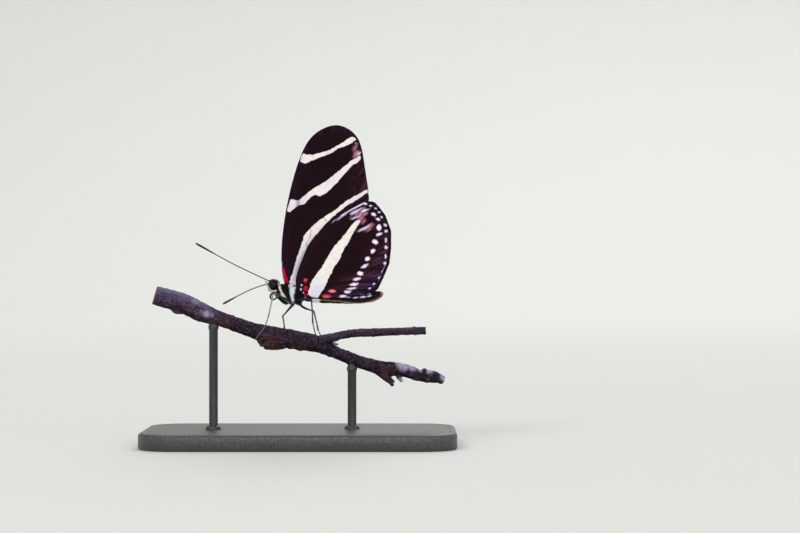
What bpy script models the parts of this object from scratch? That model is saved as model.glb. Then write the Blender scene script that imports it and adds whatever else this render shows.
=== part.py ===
# A zebra longwing at rest on a cut length of twig, life size, on a small display stand.
# Units are metres, +Z is up. The butterfly faces -X, and its left side faces -Y.
# The origin is the middle of the stand's underside.
import math

import bmesh
import bpy
from mathutils import Matrix, Vector
from mathutils.geometry import delaunay_2d_cdt, intersect_point_line

MM = 0.001
GAP = 0.3 * MM
LEFT, RIGHT = -1, 1

# Pose of the body: where the middle of the thorax is, and how far the wings lean and the head turns away
BODY_CENTRE = Vector((-1.75, 0.0, 37.75)) * MM
BODY_LEAN = math.radians(-10)
BODY_TURN = math.radians(-10)

# Thorax, an egg that narrows to the rear, in the body's own frame
THORAX_LENGTH = 7.7 * MM
THORAX_WIDTH = 4.1 * MM
THORAX_HEIGHT = 5.1 * MM
THORAX_BLUNT = 2.5
THORAX_TAPER = 0.16

# Head and eyes
HEAD_CENTRE = Vector((-4.95, 0.0, 2.25)) * MM
HEAD_LENGTH = 2.9 * MM
HEAD_WIDTH = 2.6 * MM
HEAD_HEIGHT = 3.1 * MM
EYE_RADII = Vector((1.02, 1.0, 1.38)) * MM
EYE_OUT = 0.72 * MM
EYE_FLAT = 0.72 * MM
EYE_BACK = 0.1 * MM

# Feelers on the head
ANTENNA_LENGTH = 20.5 * MM
ANTENNA_RADIUS = 0.25 * MM
CLUB_RADIUS = 0.36 * MM
CLUB_SHARE = 0.3
PALP_RADIUS = 0.42 * MM
PROBOSCIS_RADIUS = 0.25 * MM
COIL_RADIUS = 1.12 * MM
COIL_TURNS = 0.75

# Abdomen
ABDOMEN_RADIUS = 1.2 * MM
ABDOMEN_SEGMENTS = 8
ABDOMEN_GROOVE = 0.1
ABDOMEN_THINNING = 0.35
ABDOMEN_ROUND_FROM = 0.84

# Wings: length from hinge to tip, and the angle of that line above the horizontal
MEMBRANE = 0.5 * MM
VEIN_RISE = 0.1 * MM
VEIN_HALF_WIDTH = 0.4 * MM
FOREWING_LENGTH = 42.6 * MM
FOREWING_HINGE = Vector((-0.76, 0.0, 1.78)) * MM
FOREWING_ANGLE = math.radians(74.4)
HINDWING_LENGTH = 28.4 * MM
HINDWING_HINGE = Vector((2.54, 0.0, 0.76)) * MM
HINDWING_ANGLE = math.radians(49)
FOREWING_STEP = 2.1 * MM
HINDWING_STEP = 1.8 * MM
SCALLOPS = 7
SCALLOP_DEPTH = 0.009

# How far each wing stands from the body's middle plane
WING_CLOSED = 0.55 * MM
WING_SPREAD = 0.6 * MM
WING_SPREAD_REACH = 7.0 * MM
WING_TIP_FLARE = 0.35 * MM
WING_LAYER = 1.06 * MM
ABDOMEN_BULGE = 0.42 * MM
HINGE_DIP = 1.2 * MM
HINGE_DIP_REACH = 1.4 * MM
HINGE_DIP_PLACE = Vector((2.3, 0.0, -0.8)) * MM

# Outlines run from the hinge along the front edge to the tip and back, as shares of the wing's length:
# first along the wing, then across it towards its hind edge
FOREWING_OUTLINE = [
    (-0.010, -0.020), (0.061, -0.065), (0.195, -0.114), (0.358, -0.150), (0.550, -0.173),
    (0.748, -0.176), (0.880, -0.150), (0.965, -0.083), (1.000, 0.000), (0.975, 0.098),
    (0.898, 0.163), (0.790, 0.214), (0.663, 0.278), (0.584, 0.290), (0.430, 0.225),
    (0.250, 0.135), (0.080, 0.055), (-0.010, 0.025),
]
HINDWING_OUTLINE = [
    (-0.020, -0.040), (0.050, -0.108), (0.190, -0.176), (0.340, -0.228), (0.480, -0.233),
    (0.650, -0.208), (0.820, -0.155), (0.950, -0.100), (1.000, -0.030), (0.979, 0.083),
    (0.910, 0.215), (0.800, 0.318), (0.687, 0.401), (0.553, 0.450), (0.460, 0.476),
    (0.395, 0.470), (0.268, 0.386), (0.152, 0.290), (0.052, 0.174), (-0.025, 0.065),
]
HINDWING_MARGIN = (8, 15)

FOREWING_VEINS = {
    "subcosta": [(0.090, -0.057), (0.200, -0.098), (0.400, -0.142), (0.600, -0.174)],
    "radius": [(0.075, -0.030), (0.200, -0.072), (0.380, -0.105), (0.490, -0.110),
               (0.750, -0.094), (0.992, -0.035)],
    "radius_1": [(0.380, -0.105), (0.520, -0.137), (0.690, -0.175)],
    "radius_2": [(0.490, -0.110), (0.640, -0.134), (0.780, -0.168)],
    "radius_3": [(0.640, -0.104), (0.770, -0.128), (0.880, -0.146)],
    "radius_4": [(0.760, -0.093), (0.860, -0.102), (0.950, -0.100)],
    "media_1": [(0.485, -0.078), (0.700, -0.046), (0.998, 0.025)],
    "media_2": [(0.478, -0.042), (0.700, 0.018), (0.966, 0.112)],
    "media_3": [(0.460, 0.005), (0.660, 0.086), (0.882, 0.176)],
    "cubitus_1": [(0.400, 0.036), (0.580, 0.127), (0.775, 0.230)],
    "cubitus_2": [(0.280, 0.034), (0.460, 0.150), (0.650, 0.292)],
    "anal": [(0.080, 0.028), (0.200, 0.078), (0.380, 0.168), (0.560, 0.290)],
    "cell_rear": [(0.075, -0.002), (0.180, 0.012), (0.280, 0.034), (0.400, 0.036), (0.460, 0.005)],
    "cell_end": [(0.460, 0.005), (0.478, -0.042), (0.485, -0.078), (0.490, -0.110)],
}
HINDWING_VEINS = {
    "costal": [(0.090, -0.072), (0.250, -0.165), (0.500, -0.205), (0.780, -0.168), (0.965, -0.095)],
    "radial": [(0.200, -0.072), (0.450, -0.125), (0.750, -0.092), (0.995, -0.015)],
    "media_1": [(0.380, -0.060), (0.650, -0.020), (0.975, 0.093)],
    "media_2": [(0.400, -0.010), (0.650, 0.062), (0.925, 0.195)],
    "media_3": [(0.400, 0.050), (0.600, 0.135), (0.840, 0.283)],
    "cubitus_1": [(0.360, 0.080), (0.550, 0.202), (0.735, 0.367)],
    "cubitus_2": [(0.250, 0.078), (0.420, 0.222), (0.625, 0.425)],
    "anal_2": [(0.080, 0.055), (0.220, 0.175), (0.370, 0.320), (0.505, 0.463)],
    "anal_3": [(0.060, 0.092), (0.170, 0.225), (0.290, 0.345), (0.400, 0.455)],
    "cell_front": [(0.090, -0.025), (0.200, -0.072), (0.380, -0.060)],
    "cell_rear": [(0.090, 0.015), (0.250, 0.078), (0.360, 0.080), (0.400, 0.050)],
    "cell_end": [(0.380, -0.060), (0.400, -0.010), (0.400, 0.050)],
}

# Main limb of the twig, with the branch that leaves downwards: place and radius at each bend, in mm
LIMB = [
    (-36.0, -3.0, 37.5, 2.35), (-29.0, -1.9, 35.4, 2.55), (-24.0, -1.2, 33.0, 2.40),
    (-20.0, -0.8, 31.6, 1.85), (-13.0, -0.2, 29.1, 1.95), (-8.0, 0.0, 27.6, 2.35),
    (-1.0, 0.0, 26.2, 2.40), (4.0, 0.1, 25.3, 2.15), (8.0, 0.3, 23.5, 1.60),
    (15.0, 0.7, 20.7, 1.62), (21.0, 1.0, 19.1, 1.78), (26.0, 1.2, 18.6, 1.72),
    (30.0, 1.4, 17.3, 1.50), (33.0, 1.5, 17.0, 1.62), (36.2, 1.6, 16.3, 0.80),
]
SIDE_TWIG = [
    (3.5, -0.1, 26.0, 1.30), (7.5, -0.3, 26.7, 1.20), (10.5, -0.4, 27.5, 1.10),
    (14.0, -0.5, 27.95, 1.05), (20.0, -0.7, 28.2, 1.05), (26.0, -0.9, 28.45, 1.02), (31.5, -1.0, 28.6, 1.0),
]
SPUR = [(19.6, 0.9, 18.6, 1.25), (21.6, 0.7, 16.9, 1.05), (23.4, 0.6, 15.2, 0.70)]
# Swellings on the limb: centre and radii, in mm
SWELLINGS = [
    ((-7.4, -0.4, 25.7), (3.5, 2.4, 2.0)),
    ((0.6, -0.2, 24.3), (1.4, 1.3, 1.0)),
    ((-30.0, -2.1, 33.8), (1.8, 1.5, 1.2)),
    ((22.8, 1.0, 19.6), (2.0, 1.3, 1.3)),
]

# Display stand
BASE_SIZE = Vector((78.0, 42.0, 4.0)) * MM
BASE_CORNER = 9.0 * MM
BASE_EDGE = 0.8 * MM
ROD_RADIUS = 1.1 * MM
ROD_PLACES = {"stand_rod_left": -21.5 * MM, "stand_rod_right": 13.0 * MM}


def clear_scene():
    for obj in list(bpy.data.objects):
        bpy.data.objects.remove(obj)


def new_material(name, colour, roughness, metallic=0.0):
    material = bpy.data.materials.new(name)
    material.use_nodes = True
    shader = material.node_tree.nodes["Principled BSDF"]
    shader.inputs["Base Color"].default_value = (*colour, 1.0)
    shader.inputs["Roughness"].default_value = roughness
    shader.inputs["Metallic"].default_value = metallic
    material.diffuse_color = (*colour, 1.0)
    return material


def mm(x, y, z):
    return Vector((x, y, z)) * MM


def smooth_line(points, count):
    """Points at even steps of a Catmull-Rom spline through the given vectors."""
    ends = [2 * points[0] - points[1], *points, 2 * points[-1] - points[-2]]
    found = []
    for step in range(count):
        place = step / (count - 1) * (len(points) - 1)
        index = min(int(place), len(points) - 2)
        t = place - index
        a, b, c, d = ends[index:index + 4]
        found.append(0.5 * (2 * b + (c - a) * t + (2 * a - 5 * b + 4 * c - d) * t ** 2
                            + (3 * b - a - 3 * c + d) * t ** 3))
    return found


def as_object(name, bm):
    mesh = bpy.data.meshes.new(name)
    bm.to_mesh(mesh)
    bm.free()
    obj = bpy.data.objects.new(name, mesh)
    bpy.context.scene.collection.objects.link(obj)
    return obj


def settled(obj):
    """The object with its modifiers applied and its loose points welded, as a plain mesh in its place."""
    bpy.context.view_layer.update()
    graph = bpy.context.evaluated_depsgraph_get()
    mesh = bpy.data.meshes.new_from_object(obj.evaluated_get(graph))
    made = bpy.data.objects.new(obj.name + "_mesh", mesh)
    made.matrix_world = obj.matrix_world.copy()
    bpy.context.scene.collection.objects.link(made)
    name = obj.name
    bpy.data.objects.remove(obj)
    made.name = name
    bm = bmesh.new()
    bm.from_mesh(mesh)
    bmesh.ops.remove_doubles(bm, verts=bm.verts, dist=0.002 * MM)
    bmesh.ops.recalc_face_normals(bm, faces=bm.faces)
    bm.to_mesh(mesh)
    bm.free()
    return made


def keep_largest(obj):
    """Drops all but the largest closed surface of the mesh."""
    bm = bmesh.new()
    bm.from_mesh(obj.data)
    bm.faces.ensure_lookup_table()
    unseen = set(bm.faces)
    groups = []
    while unseen:
        front = [unseen.pop()]
        group = list(front)
        while front:
            face = front.pop()
            for edge in face.edges:
                for other in edge.link_faces:
                    if other in unseen:
                        unseen.remove(other)
                        front.append(other)
                        group.append(other)
        groups.append(group)
    groups.sort(key=lambda group: sum(face.calc_area() for face in group))
    loose = [face for group in groups[:-1] for face in group]
    bmesh.ops.delete(bm, geom=loose, context="FACES")
    bm.to_mesh(obj.data)
    bm.free()
    return obj


def boolean(obj, others, operation, solver="EXACT"):
    """Joins or cuts obj with the other closed meshes, applies it and removes them."""
    helpers = bpy.data.collections.new("helpers")
    bpy.context.scene.collection.children.link(helpers)
    for other in others:
        bpy.context.scene.collection.objects.unlink(other)
        helpers.objects.link(other)
    modifier = obj.modifiers.new("shape", "BOOLEAN")
    modifier.operation = operation
    modifier.operand_type = "COLLECTION"
    modifier.collection = helpers
    modifier.solver = solver
    obj = settled(obj)
    for other in others:
        bpy.data.objects.remove(other)
    bpy.data.collections.remove(helpers)
    return keep_largest(obj)


def grown(obj, distance):
    """A copy of a closed mesh with its surface moved out by the distance."""
    copy = obj.copy()
    copy.data = obj.data.copy()
    bpy.context.scene.collection.objects.link(copy)
    modifier = copy.modifiers.new("grow", "DISPLACE")
    modifier.mid_level = 0.0
    modifier.strength = distance
    return settled(copy)


def tube(name, points, radii, resolution=2):
    """A tapered round bar through the points, closed at both ends."""
    curve = bpy.data.curves.new(name, "CURVE")
    curve.dimensions = "3D"
    curve.bevel_depth = 1.0
    curve.bevel_resolution = resolution
    curve.use_fill_caps = True
    spline = curve.splines.new("POLY")
    spline.points.add(len(points) - 1)
    for point, place, radius in zip(spline.points, points, radii):
        point.co = (*place, 1.0)
        point.radius = radius
    obj = bpy.data.objects.new(name, curve)
    bpy.context.scene.collection.objects.link(obj)
    return settled(obj)


def ellipsoid(name, centre, radii, segments=20, rings=12):
    bm = bmesh.new()
    bmesh.ops.create_uvsphere(bm, u_segments=segments, v_segments=rings, radius=1.0)
    bmesh.ops.scale(bm, vec=radii, verts=bm.verts)
    bmesh.ops.translate(bm, vec=centre, verts=bm.verts)
    return as_object(name, bm)


def body_to_world():
    turn = Matrix.Rotation(BODY_TURN, 4, "Z") @ Matrix.Rotation(BODY_LEAN, 4, "X")
    return Matrix.Translation(BODY_CENTRE) @ turn


def egg(name, centre, length, width, height, blunt, taper, segments=22, rings=13):
    """A blunt ellipsoid along X. The taper narrows its rear end."""
    bm = bmesh.new()
    bmesh.ops.create_uvsphere(bm, u_segments=segments, v_segments=rings, radius=1.0)
    bmesh.ops.rotate(bm, matrix=Matrix.Rotation(math.radians(90), 3, "Y"), verts=bm.verts)
    for vert in bm.verts:
        along, across, up = vert.co
        ring = math.hypot(across, up)
        full = (1 - min(abs(along), 1.0) ** blunt) ** (1 / blunt)
        scale = full / ring if ring > 1e-6 else 0.0
        scale *= 1 - taper * along
        vert.co = centre + Vector((along * length / 2, across * scale * width / 2, up * scale * height / 2))
    return as_object(name, bm)


def thorax_shape(name="thorax"):
    return egg(name, Vector((0, 0, 0)), THORAX_LENGTH, THORAX_WIDTH, THORAX_HEIGHT,
               THORAX_BLUNT, THORAX_TAPER)


def eye_shape(name, side, grow=0.0):
    """A dome with a flat inner face. Grown, it is the socket that the head is cut with."""
    centre = HEAD_CENTRE + Vector((-EYE_BACK, side * EYE_OUT, 0.0))
    obj = ellipsoid(name, centre, EYE_RADII + Vector((grow, grow, grow)), 20, 12)
    bm = bmesh.new()
    bm.from_mesh(obj.data)
    flat = HEAD_CENTRE + Vector((0, side * (EYE_FLAT - grow), 0))
    cut = bmesh.ops.bisect_plane(
        bm, geom=[*bm.verts, *bm.edges, *bm.faces], plane_co=flat, plane_no=(0, side, 0), clear_inner=True)
    rim = [item for item in cut["geom_cut"] if isinstance(item, bmesh.types.BMEdge)]
    bmesh.ops.contextual_create(bm, geom=rim)
    bmesh.ops.recalc_face_normals(bm, faces=bm.faces)
    bm.to_mesh(obj.data)
    bm.free()
    return obj


def head_shape(name, grow=0.0):
    """The head capsule with a short neck, a face and a mouth, each grown by the same distance."""
    skull = egg(name, HEAD_CENTRE, HEAD_LENGTH + 2 * grow, HEAD_WIDTH + 2 * grow, HEAD_HEIGHT + 2 * grow, 2.2, 0.05)
    neck = tube("neck", [HEAD_CENTRE + mm(0.5, 0, -0.3), mm(-3.0, 0, 1.1)], [0.8 * MM + grow, 0.9 * MM + grow], 3)
    wider = Vector((grow, grow, grow))
    face = ellipsoid("face", HEAD_CENTRE + mm(-1.0, 0, -0.75), mm(0.6, 0.5, 0.9) + wider, 12, 8)
    mouth = ellipsoid("mouth", HEAD_CENTRE + mm(0.05, 0, -1.3), mm(0.6, 0.5, 0.65) + wider, 12, 8)
    return boolean(skull, [neck, face, mouth], "UNION")


def aimed(body_start, world_tip, bend, count):
    """A gently bent line in the body's frame, from a point on the body to a tip given in the world."""
    tip = body_to_world().inverted() @ world_tip
    middle = (body_start + tip) / 2 + bend
    return smooth_line([body_start, middle, tip], count)


def antenna(name, side, world_tip, bend):
    start = HEAD_CENTRE + mm(-0.75, side * 0.42, 0.75)
    line = aimed(start, world_tip, bend, 26)
    radii = []
    for index in range(len(line)):
        share = index / (len(line) - 1)
        club = max(0.0, (share - 1 + CLUB_SHARE) / CLUB_SHARE)
        swell = math.sin(min(club, 0.8) / 0.8 * math.pi / 2)
        tip = math.sqrt(max(0.05, 1 - ((club - 0.8) / 0.2) ** 2)) if club > 0.8 else 1.0
        radii.append((ANTENNA_RADIUS + (CLUB_RADIUS - ANTENNA_RADIUS) * swell) * tip)
    return tube(name, line, radii)


def palp(name, side):
    line = [HEAD_CENTRE + mm(-0.6, side * 0.34, -1.3), HEAD_CENTRE + mm(-1.62, side * 0.40, -1.15),
            HEAD_CENTRE + mm(-1.95, side * 0.42, -0.35), HEAD_CENTRE + mm(-2.15, side * 0.44, 0.5),
            HEAD_CENTRE + mm(-2.35, side * 0.46, 1.0)]
    line = smooth_line(line, 12)
    radii = [PALP_RADIUS * math.sqrt(max(0.08, 1 - (index / 11) ** 3)) for index in range(12)]
    return tube(name, line, radii)


def proboscis():
    """The coiled tongue: down from the mouth, then round inwards in the middle plane."""
    centre = HEAD_CENTRE + mm(0.1, 0, -2.95)
    start = math.radians(95)
    steps = 18
    line = []
    for index in range(steps):
        share = index / (steps - 1)
        angle = start + share * COIL_TURNS * math.tau
        radius = COIL_RADIUS - PROBOSCIS_RADIUS - share * COIL_TURNS * (2 * PROBOSCIS_RADIUS + GAP) * 0.95
        line.append(centre + Vector((math.cos(angle), 0, math.sin(angle))) * radius)
    root = [HEAD_CENTRE + mm(-0.1, 0, -1.1), HEAD_CENTRE + mm(0.17, 0, -1.78)]
    line = [*root, *line]
    return tube("proboscis", line, [PROBOSCIS_RADIUS] * len(line))


def abdomen_line(count):
    points = [mm(2.9, 0, -0.4), mm(5.5, 0, -0.95), mm(10.0, 0, -1.1), mm(15.0, 0, -1.2),
              mm(19.5, 0, -0.87), mm(22.8, 0, 0.2)]
    return smooth_line(points, count)


def abdomen():
    per_segment = 4
    count = ABDOMEN_SEGMENTS * per_segment + 1
    radii = []
    for index in range(count):
        share = index / (count - 1)
        full = (1 - (share - 0.5) ** 2 * ABDOMEN_THINNING) * min(1.0, 0.8 + share)
        past = max(0.0, share - ABDOMEN_ROUND_FROM) / (1 - ABDOMEN_ROUND_FROM)
        end = math.sqrt(1 - 0.85 * past ** 2)
        groove = 1 - ABDOMEN_GROOVE if index % per_segment == 0 and 0 < index < count - 1 else 1.0
        radii.append(ABDOMEN_RADIUS * full * end * groove)
    return tube("abdomen", abdomen_line(count), radii, 3)


def wing_gap(x, z):
    """How far a forewing's middle surface stands from the body's middle plane."""
    from_root = math.hypot(x - 0.5 * MM, z - 1.2 * MM) / WING_SPREAD_REACH
    height = max(0.0, z) / FOREWING_LENGTH
    return WING_CLOSED + WING_SPREAD * math.exp(-from_root ** 2) + WING_TIP_FLARE * height ** 2


def hindwing_gap(x, z):
    """The same for a hindwing, which lies outside the forewing and cups the abdomen."""
    beside_abdomen = ABDOMEN_BULGE * math.exp(-((z + 0.5 * MM) / (2.2 * MM)) ** 2)
    from_hinge = math.hypot(x - HINGE_DIP_PLACE.x, z - HINGE_DIP_PLACE.z) / HINGE_DIP_REACH
    return wing_gap(x, z) + WING_LAYER + beside_abdomen - HINGE_DIP * math.exp(-from_hinge ** 2)


def scalloped(outline, first, last):
    """Waves the outline inwards between the veins, from one point's index to another's."""
    found = []
    for place, point in outline:
        share = (place - first) / (last - first)
        depth = 0.0
        if 0 < share < 1:
            depth = SCALLOP_DEPTH * (0.5 - 0.5 * math.cos(share * SCALLOPS * math.tau))
        inward = (Vector((0.55, 0.1)) - point).normalized()
        found.append(point + inward * depth)
    return found


def wing_outline(shares, length, count, margin=None):
    points = [Vector((u, v, 0)) for u, v in shares]
    line = smooth_line(points, count)
    placed = [(index / (count - 1) * (len(shares) - 1), point.xy) for index, point in enumerate(line)]
    line = scalloped(placed, *margin) if margin else [point for _, point in placed]
    return [point * length for point in line]


def vein_lines(veins, length, spacing):
    found = []
    for points in veins.values():
        points = [Vector((u * length, v * length, 0)) for u, v in points]
        reach = sum((b - a).length for a, b in zip(points, points[1:]))
        count = max(3, round(reach / spacing) + 1)
        found.append([point.xy for point in smooth_line(points, count)])
    return found


def distance_to(point, lines):
    best = math.inf
    for line in lines:
        for a, b in zip(line, line[1:]):
            foot, share = intersect_point_line(point, a, b)
            share = min(max(share, 0.0), 1.0)
            best = min(best, (point - a.lerp(b, share)).length)
    return best


def flanks(line):
    """Lines along both sides of a vein, without its first and last points."""
    for side in (-1, 1):
        beside = []
        for before, point, after in zip(line, line[1:], line[2:]):
            along = (after - before).normalized()
            beside.append(point + side * VEIN_HALF_WIDTH * Vector((-along.y, along.x)))
        yield beside


def inside(point, outline):
    crossings = 0
    for a, b in zip(outline, outline[1:] + outline[:1]):
        if (a.y > point.y) != (b.y > point.y):
            if point.x < a.x + (point.y - a.y) / (b.y - a.y) * (b.x - a.x):
                crossings += 1
    return crossings % 2 == 1


def wing_sheet(outline, veins, spacing):
    """Flat points and triangles of a wing whose edges follow its outline and its veins."""
    points = list(outline)
    edges = [(i, (i + 1) % len(outline)) for i in range(len(outline))]
    margin = [*outline, outline[0]]

    def add(line):
        line = [p for p in line if inside(p, outline) and distance_to(p, [margin]) > 0.25 * MM]
        first = len(points)
        points.extend(line)
        edges.extend((i, i + 1) for i in range(first, len(points) - 1))

    for line in veins:
        add(line)
    for line in veins:
        for beside in flanks(line):
            run = []
            for place in [*beside, None]:
                if place is not None and distance_to(place, veins) > 0.8 * VEIN_HALF_WIDTH:
                    run.append(place)
                elif run:
                    add(run)
                    run = []
    low = Vector((min(p.x for p in outline), min(p.y for p in outline)))
    high = Vector((max(p.x for p in outline), max(p.y for p in outline)))
    for i in range(int((high.x - low.x) / spacing) + 1):
        for j in range(int((high.y - low.y) / spacing) + 1):
            spot = low + Vector(((i + 0.5 * (j % 2)) * spacing, j * spacing))
            if inside(spot, outline) and distance_to(spot, [margin, *veins]) > 0.45 * spacing:
                points.append(spot)
    flat = [p / MM for p in points]
    face = [list(range(len(outline)))]
    verts, _, faces, *_ = delaunay_2d_cdt(flat, edges, face, 1, 0.02, False)
    return [p * MM for p in verts], faces


def wing(name, side, hinge, angle, length, outline, veins, gap, spacing):
    """A thin curved membrane with its main veins raised on both faces."""
    lines = vein_lines(veins, length, spacing)
    flat, faces = wing_sheet(outline, lines, spacing * 1.1)
    bm = bmesh.new()
    rise = []
    for point in flat:
        x = hinge.x + point.x * math.cos(angle) + point.y * math.sin(angle)
        z = hinge.z + point.x * math.sin(angle) - point.y * math.cos(angle)
        bm.verts.new((x, side * gap(x, z), z))
        near = 1 - distance_to(point, lines) / VEIN_HALF_WIDTH
        rise.append(min(max(near, 0.0), 1.0) * (1 - 0.4 * point.length / length))
    bm.verts.ensure_lookup_table()
    for face in faces:
        bm.faces.new([bm.verts[i] for i in face])
    bmesh.ops.triangulate(bm, faces=bm.faces)
    bmesh.ops.recalc_face_normals(bm, faces=bm.faces)
    obj = as_object(name, bm)
    group = obj.vertex_groups.new(name="vein_rise")
    for index, weight in enumerate(rise):
        group.add([index], weight, "REPLACE")
    thick = MEMBRANE + 2 * VEIN_RISE
    modifier = obj.modifiers.new("thickness", "SOLIDIFY")
    modifier.thickness = thick
    modifier.offset = 0.0
    modifier.vertex_group = "vein_rise"
    modifier.thickness_vertex_group = MEMBRANE / thick
    return settled(obj)


def forewing(name, side):
    outline = wing_outline(FOREWING_OUTLINE, FOREWING_LENGTH, 60)
    return wing(name, side, FOREWING_HINGE, FOREWING_ANGLE, FOREWING_LENGTH, outline,
                FOREWING_VEINS, wing_gap, FOREWING_STEP)


def hindwing(name, side):
    outline = wing_outline(HINDWING_OUTLINE, HINDWING_LENGTH, 77, HINDWING_MARGIN)
    return wing(name, side, HINDWING_HINGE, HINDWING_ANGLE, HINDWING_LENGTH, outline,
                HINDWING_VEINS, hindwing_gap, HINDWING_STEP)


def limb_at(x):
    """Centre, direction and radius of the main limb where it passes the given X."""
    centres = smooth_line([mm(px, py, pz) for px, py, pz, _ in LIMB], 200)
    radii = smooth_line([Vector((r * MM, 0, 0)) for *_, r in LIMB], 200)
    index = min(range(1, 199), key=lambda i: abs(centres[i].x - x))
    along = (centres[index + 1] - centres[index - 1]).normalized()
    return centres[index], along, radii[index].x


def on_limb(x, degrees, clearance):
    """A point beside the limb: degrees turn from its top towards the camera's side, -Y."""
    centre, along, radius = limb_at(x * MM)
    up = (Vector((0, 0, 1)) - along * along.z).normalized()
    front = along.cross(up).normalized()
    if front.y > 0:
        front.negate()
    turn = math.radians(degrees)
    return centre + (up * math.cos(turn) + front * math.sin(turn)) * (radius + clearance)


def leg(name, hip, knee, ankle, toes, thigh_radius):
    """Thigh, shin and foot in one bent, tapered piece. The hip is in the body's frame, the rest in the world."""
    home = body_to_world().inverted()
    knee, ankle, toes = home @ knee, home @ ankle, [home @ toe for toe in toes]
    shin = 0.27 * MM
    foot = 0.25 * MM
    line = [hip, hip.lerp(knee, 0.35), hip.lerp(knee, 0.9), knee, knee.lerp(ankle, 0.08)]
    line += [knee.lerp(ankle, 0.55), ankle, *toes]
    radii = [thigh_radius, thigh_radius * 1.1, thigh_radius * 0.75, thigh_radius * 0.72, shin]
    radii += [shin, foot, *[foot] * (len(toes) - 1), foot * 0.6]
    return tube(name, line, radii)


def legs():
    clear = GAP + 0.26 * MM
    made = {
        "midleg_left": (
            mm(-0.2, -1.0, -2.1), mm(-6.4, -4.7, 38.0), mm(-7.7, -3.9, 31.9),
            [on_limb(-8.6, 58, clear + 0.3 * MM), on_limb(-9.4, 80, clear + 0.1 * MM), on_limb(-10.3, 112, clear)],
            0.36 * MM),
        "midleg_right": (
            mm(0.5, 1.0, -1.9), mm(-4.5, 3.9, 32.1), mm(-4.0, 2.5, 29.2),
            [on_limb(-3.5, -75, clear), on_limb(-3.3, -100, clear), on_limb(-3.1, -130, clear)],
            0.36 * MM),
        "hindleg_left": (
            mm(1.5, -1.0, -1.8), mm(3.0, -4.1, 36.6), mm(3.3, -2.3, 30.6),
            [on_limb(3.4, 38, clear), on_limb(3.9, 62, clear), on_limb(4.3, 90, clear)],
            0.36 * MM),
        "hindleg_right": (
            mm(1.1, 1.0, -2.0), mm(3.3, 3.6, 33.4), mm(4.5, 1.5, 28.7),
            [on_limb(4.9, -50, clear), on_limb(5.2, -80, clear), on_limb(5.4, -110, clear)],
            0.36 * MM),
    }
    return {name: leg(name, *rest) for name, rest in made.items()}


def foreleg(name, side):
    """The short folded foreleg of a brush-footed butterfly, held against the chest."""
    line = smooth_line([mm(-2.2, side * 0.8, -1.3), mm(-3.1, side * 1.0, -1.6), mm(-3.95, side * 1.0, -0.9),
                        mm(-3.75, side * 1.0, -0.2)], 10)
    radii = [0.3 * MM * (1 - 0.35 * index / 9) for index in range(10)]
    return tube(name, line, radii)


def limb():
    """The main limb with its swellings and the broken spur under its end."""
    count = 44
    centres = smooth_line([mm(x, y, z) for x, y, z, _ in LIMB], count)
    radii = [v.x for v in smooth_line([Vector((r * MM, 0, 0)) for *_, r in LIMB], count)]
    main = tube("perch_limb", centres, radii, 4)
    spur_line = smooth_line([mm(x, y, z) for x, y, z, _ in SPUR], 6)
    spur_radii = [v.x for v in smooth_line([Vector((r * MM, 0, 0)) for *_, r in SPUR], 6)]
    pieces = [tube("spur", spur_line, spur_radii)]
    for centre, radii in SWELLINGS:
        pieces.append(ellipsoid("swelling", mm(*centre), mm(*radii), 14, 9))
    return boolean(main, pieces, "UNION")


def side_twig():
    count = 22
    centres = smooth_line([mm(x, y, z) for x, y, z, _ in SIDE_TWIG], count)
    radii = [v.x for v in smooth_line([Vector((r * MM, 0, 0)) for *_, r in SIDE_TWIG], count)]
    return tube("perch_side_twig", centres, radii, 3)


def stand_base():
    bm = bmesh.new()
    bmesh.ops.create_cube(bm, size=1.0)
    bmesh.ops.scale(bm, vec=BASE_SIZE, verts=bm.verts)
    bmesh.ops.translate(bm, vec=(0, 0, BASE_SIZE.z / 2), verts=bm.verts)
    upright = [edge for edge in bm.edges if abs(edge.verts[0].co.z - edge.verts[1].co.z) > 1e-6]
    bmesh.ops.bevel(bm, geom=upright, offset=BASE_CORNER, segments=8, profile=0.5, affect="EDGES")
    top = [edge for edge in bm.edges if all(v.co.z > BASE_SIZE.z - 1e-6 for v in edge.verts)]
    bmesh.ops.bevel(bm, geom=top, offset=BASE_EDGE, segments=3, profile=0.5, affect="EDGES")
    return as_object("stand_base", bm)


def rod(name, x, perch):
    """A plain rod from just above the base to the twig, its top shaped to the bark."""
    centre, _, _ = limb_at(x)
    bottom = BASE_SIZE.z + GAP
    bm = bmesh.new()
    bmesh.ops.create_cone(bm, cap_ends=True, segments=20, radius1=ROD_RADIUS, radius2=ROD_RADIUS,
                          depth=centre.z - bottom)
    bmesh.ops.translate(bm, vec=(x, centre.y, (centre.z + bottom) / 2), verts=bm.verts)
    return boolean(as_object(name, bm), [grown(perch, GAP)], "DIFFERENCE")


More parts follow.
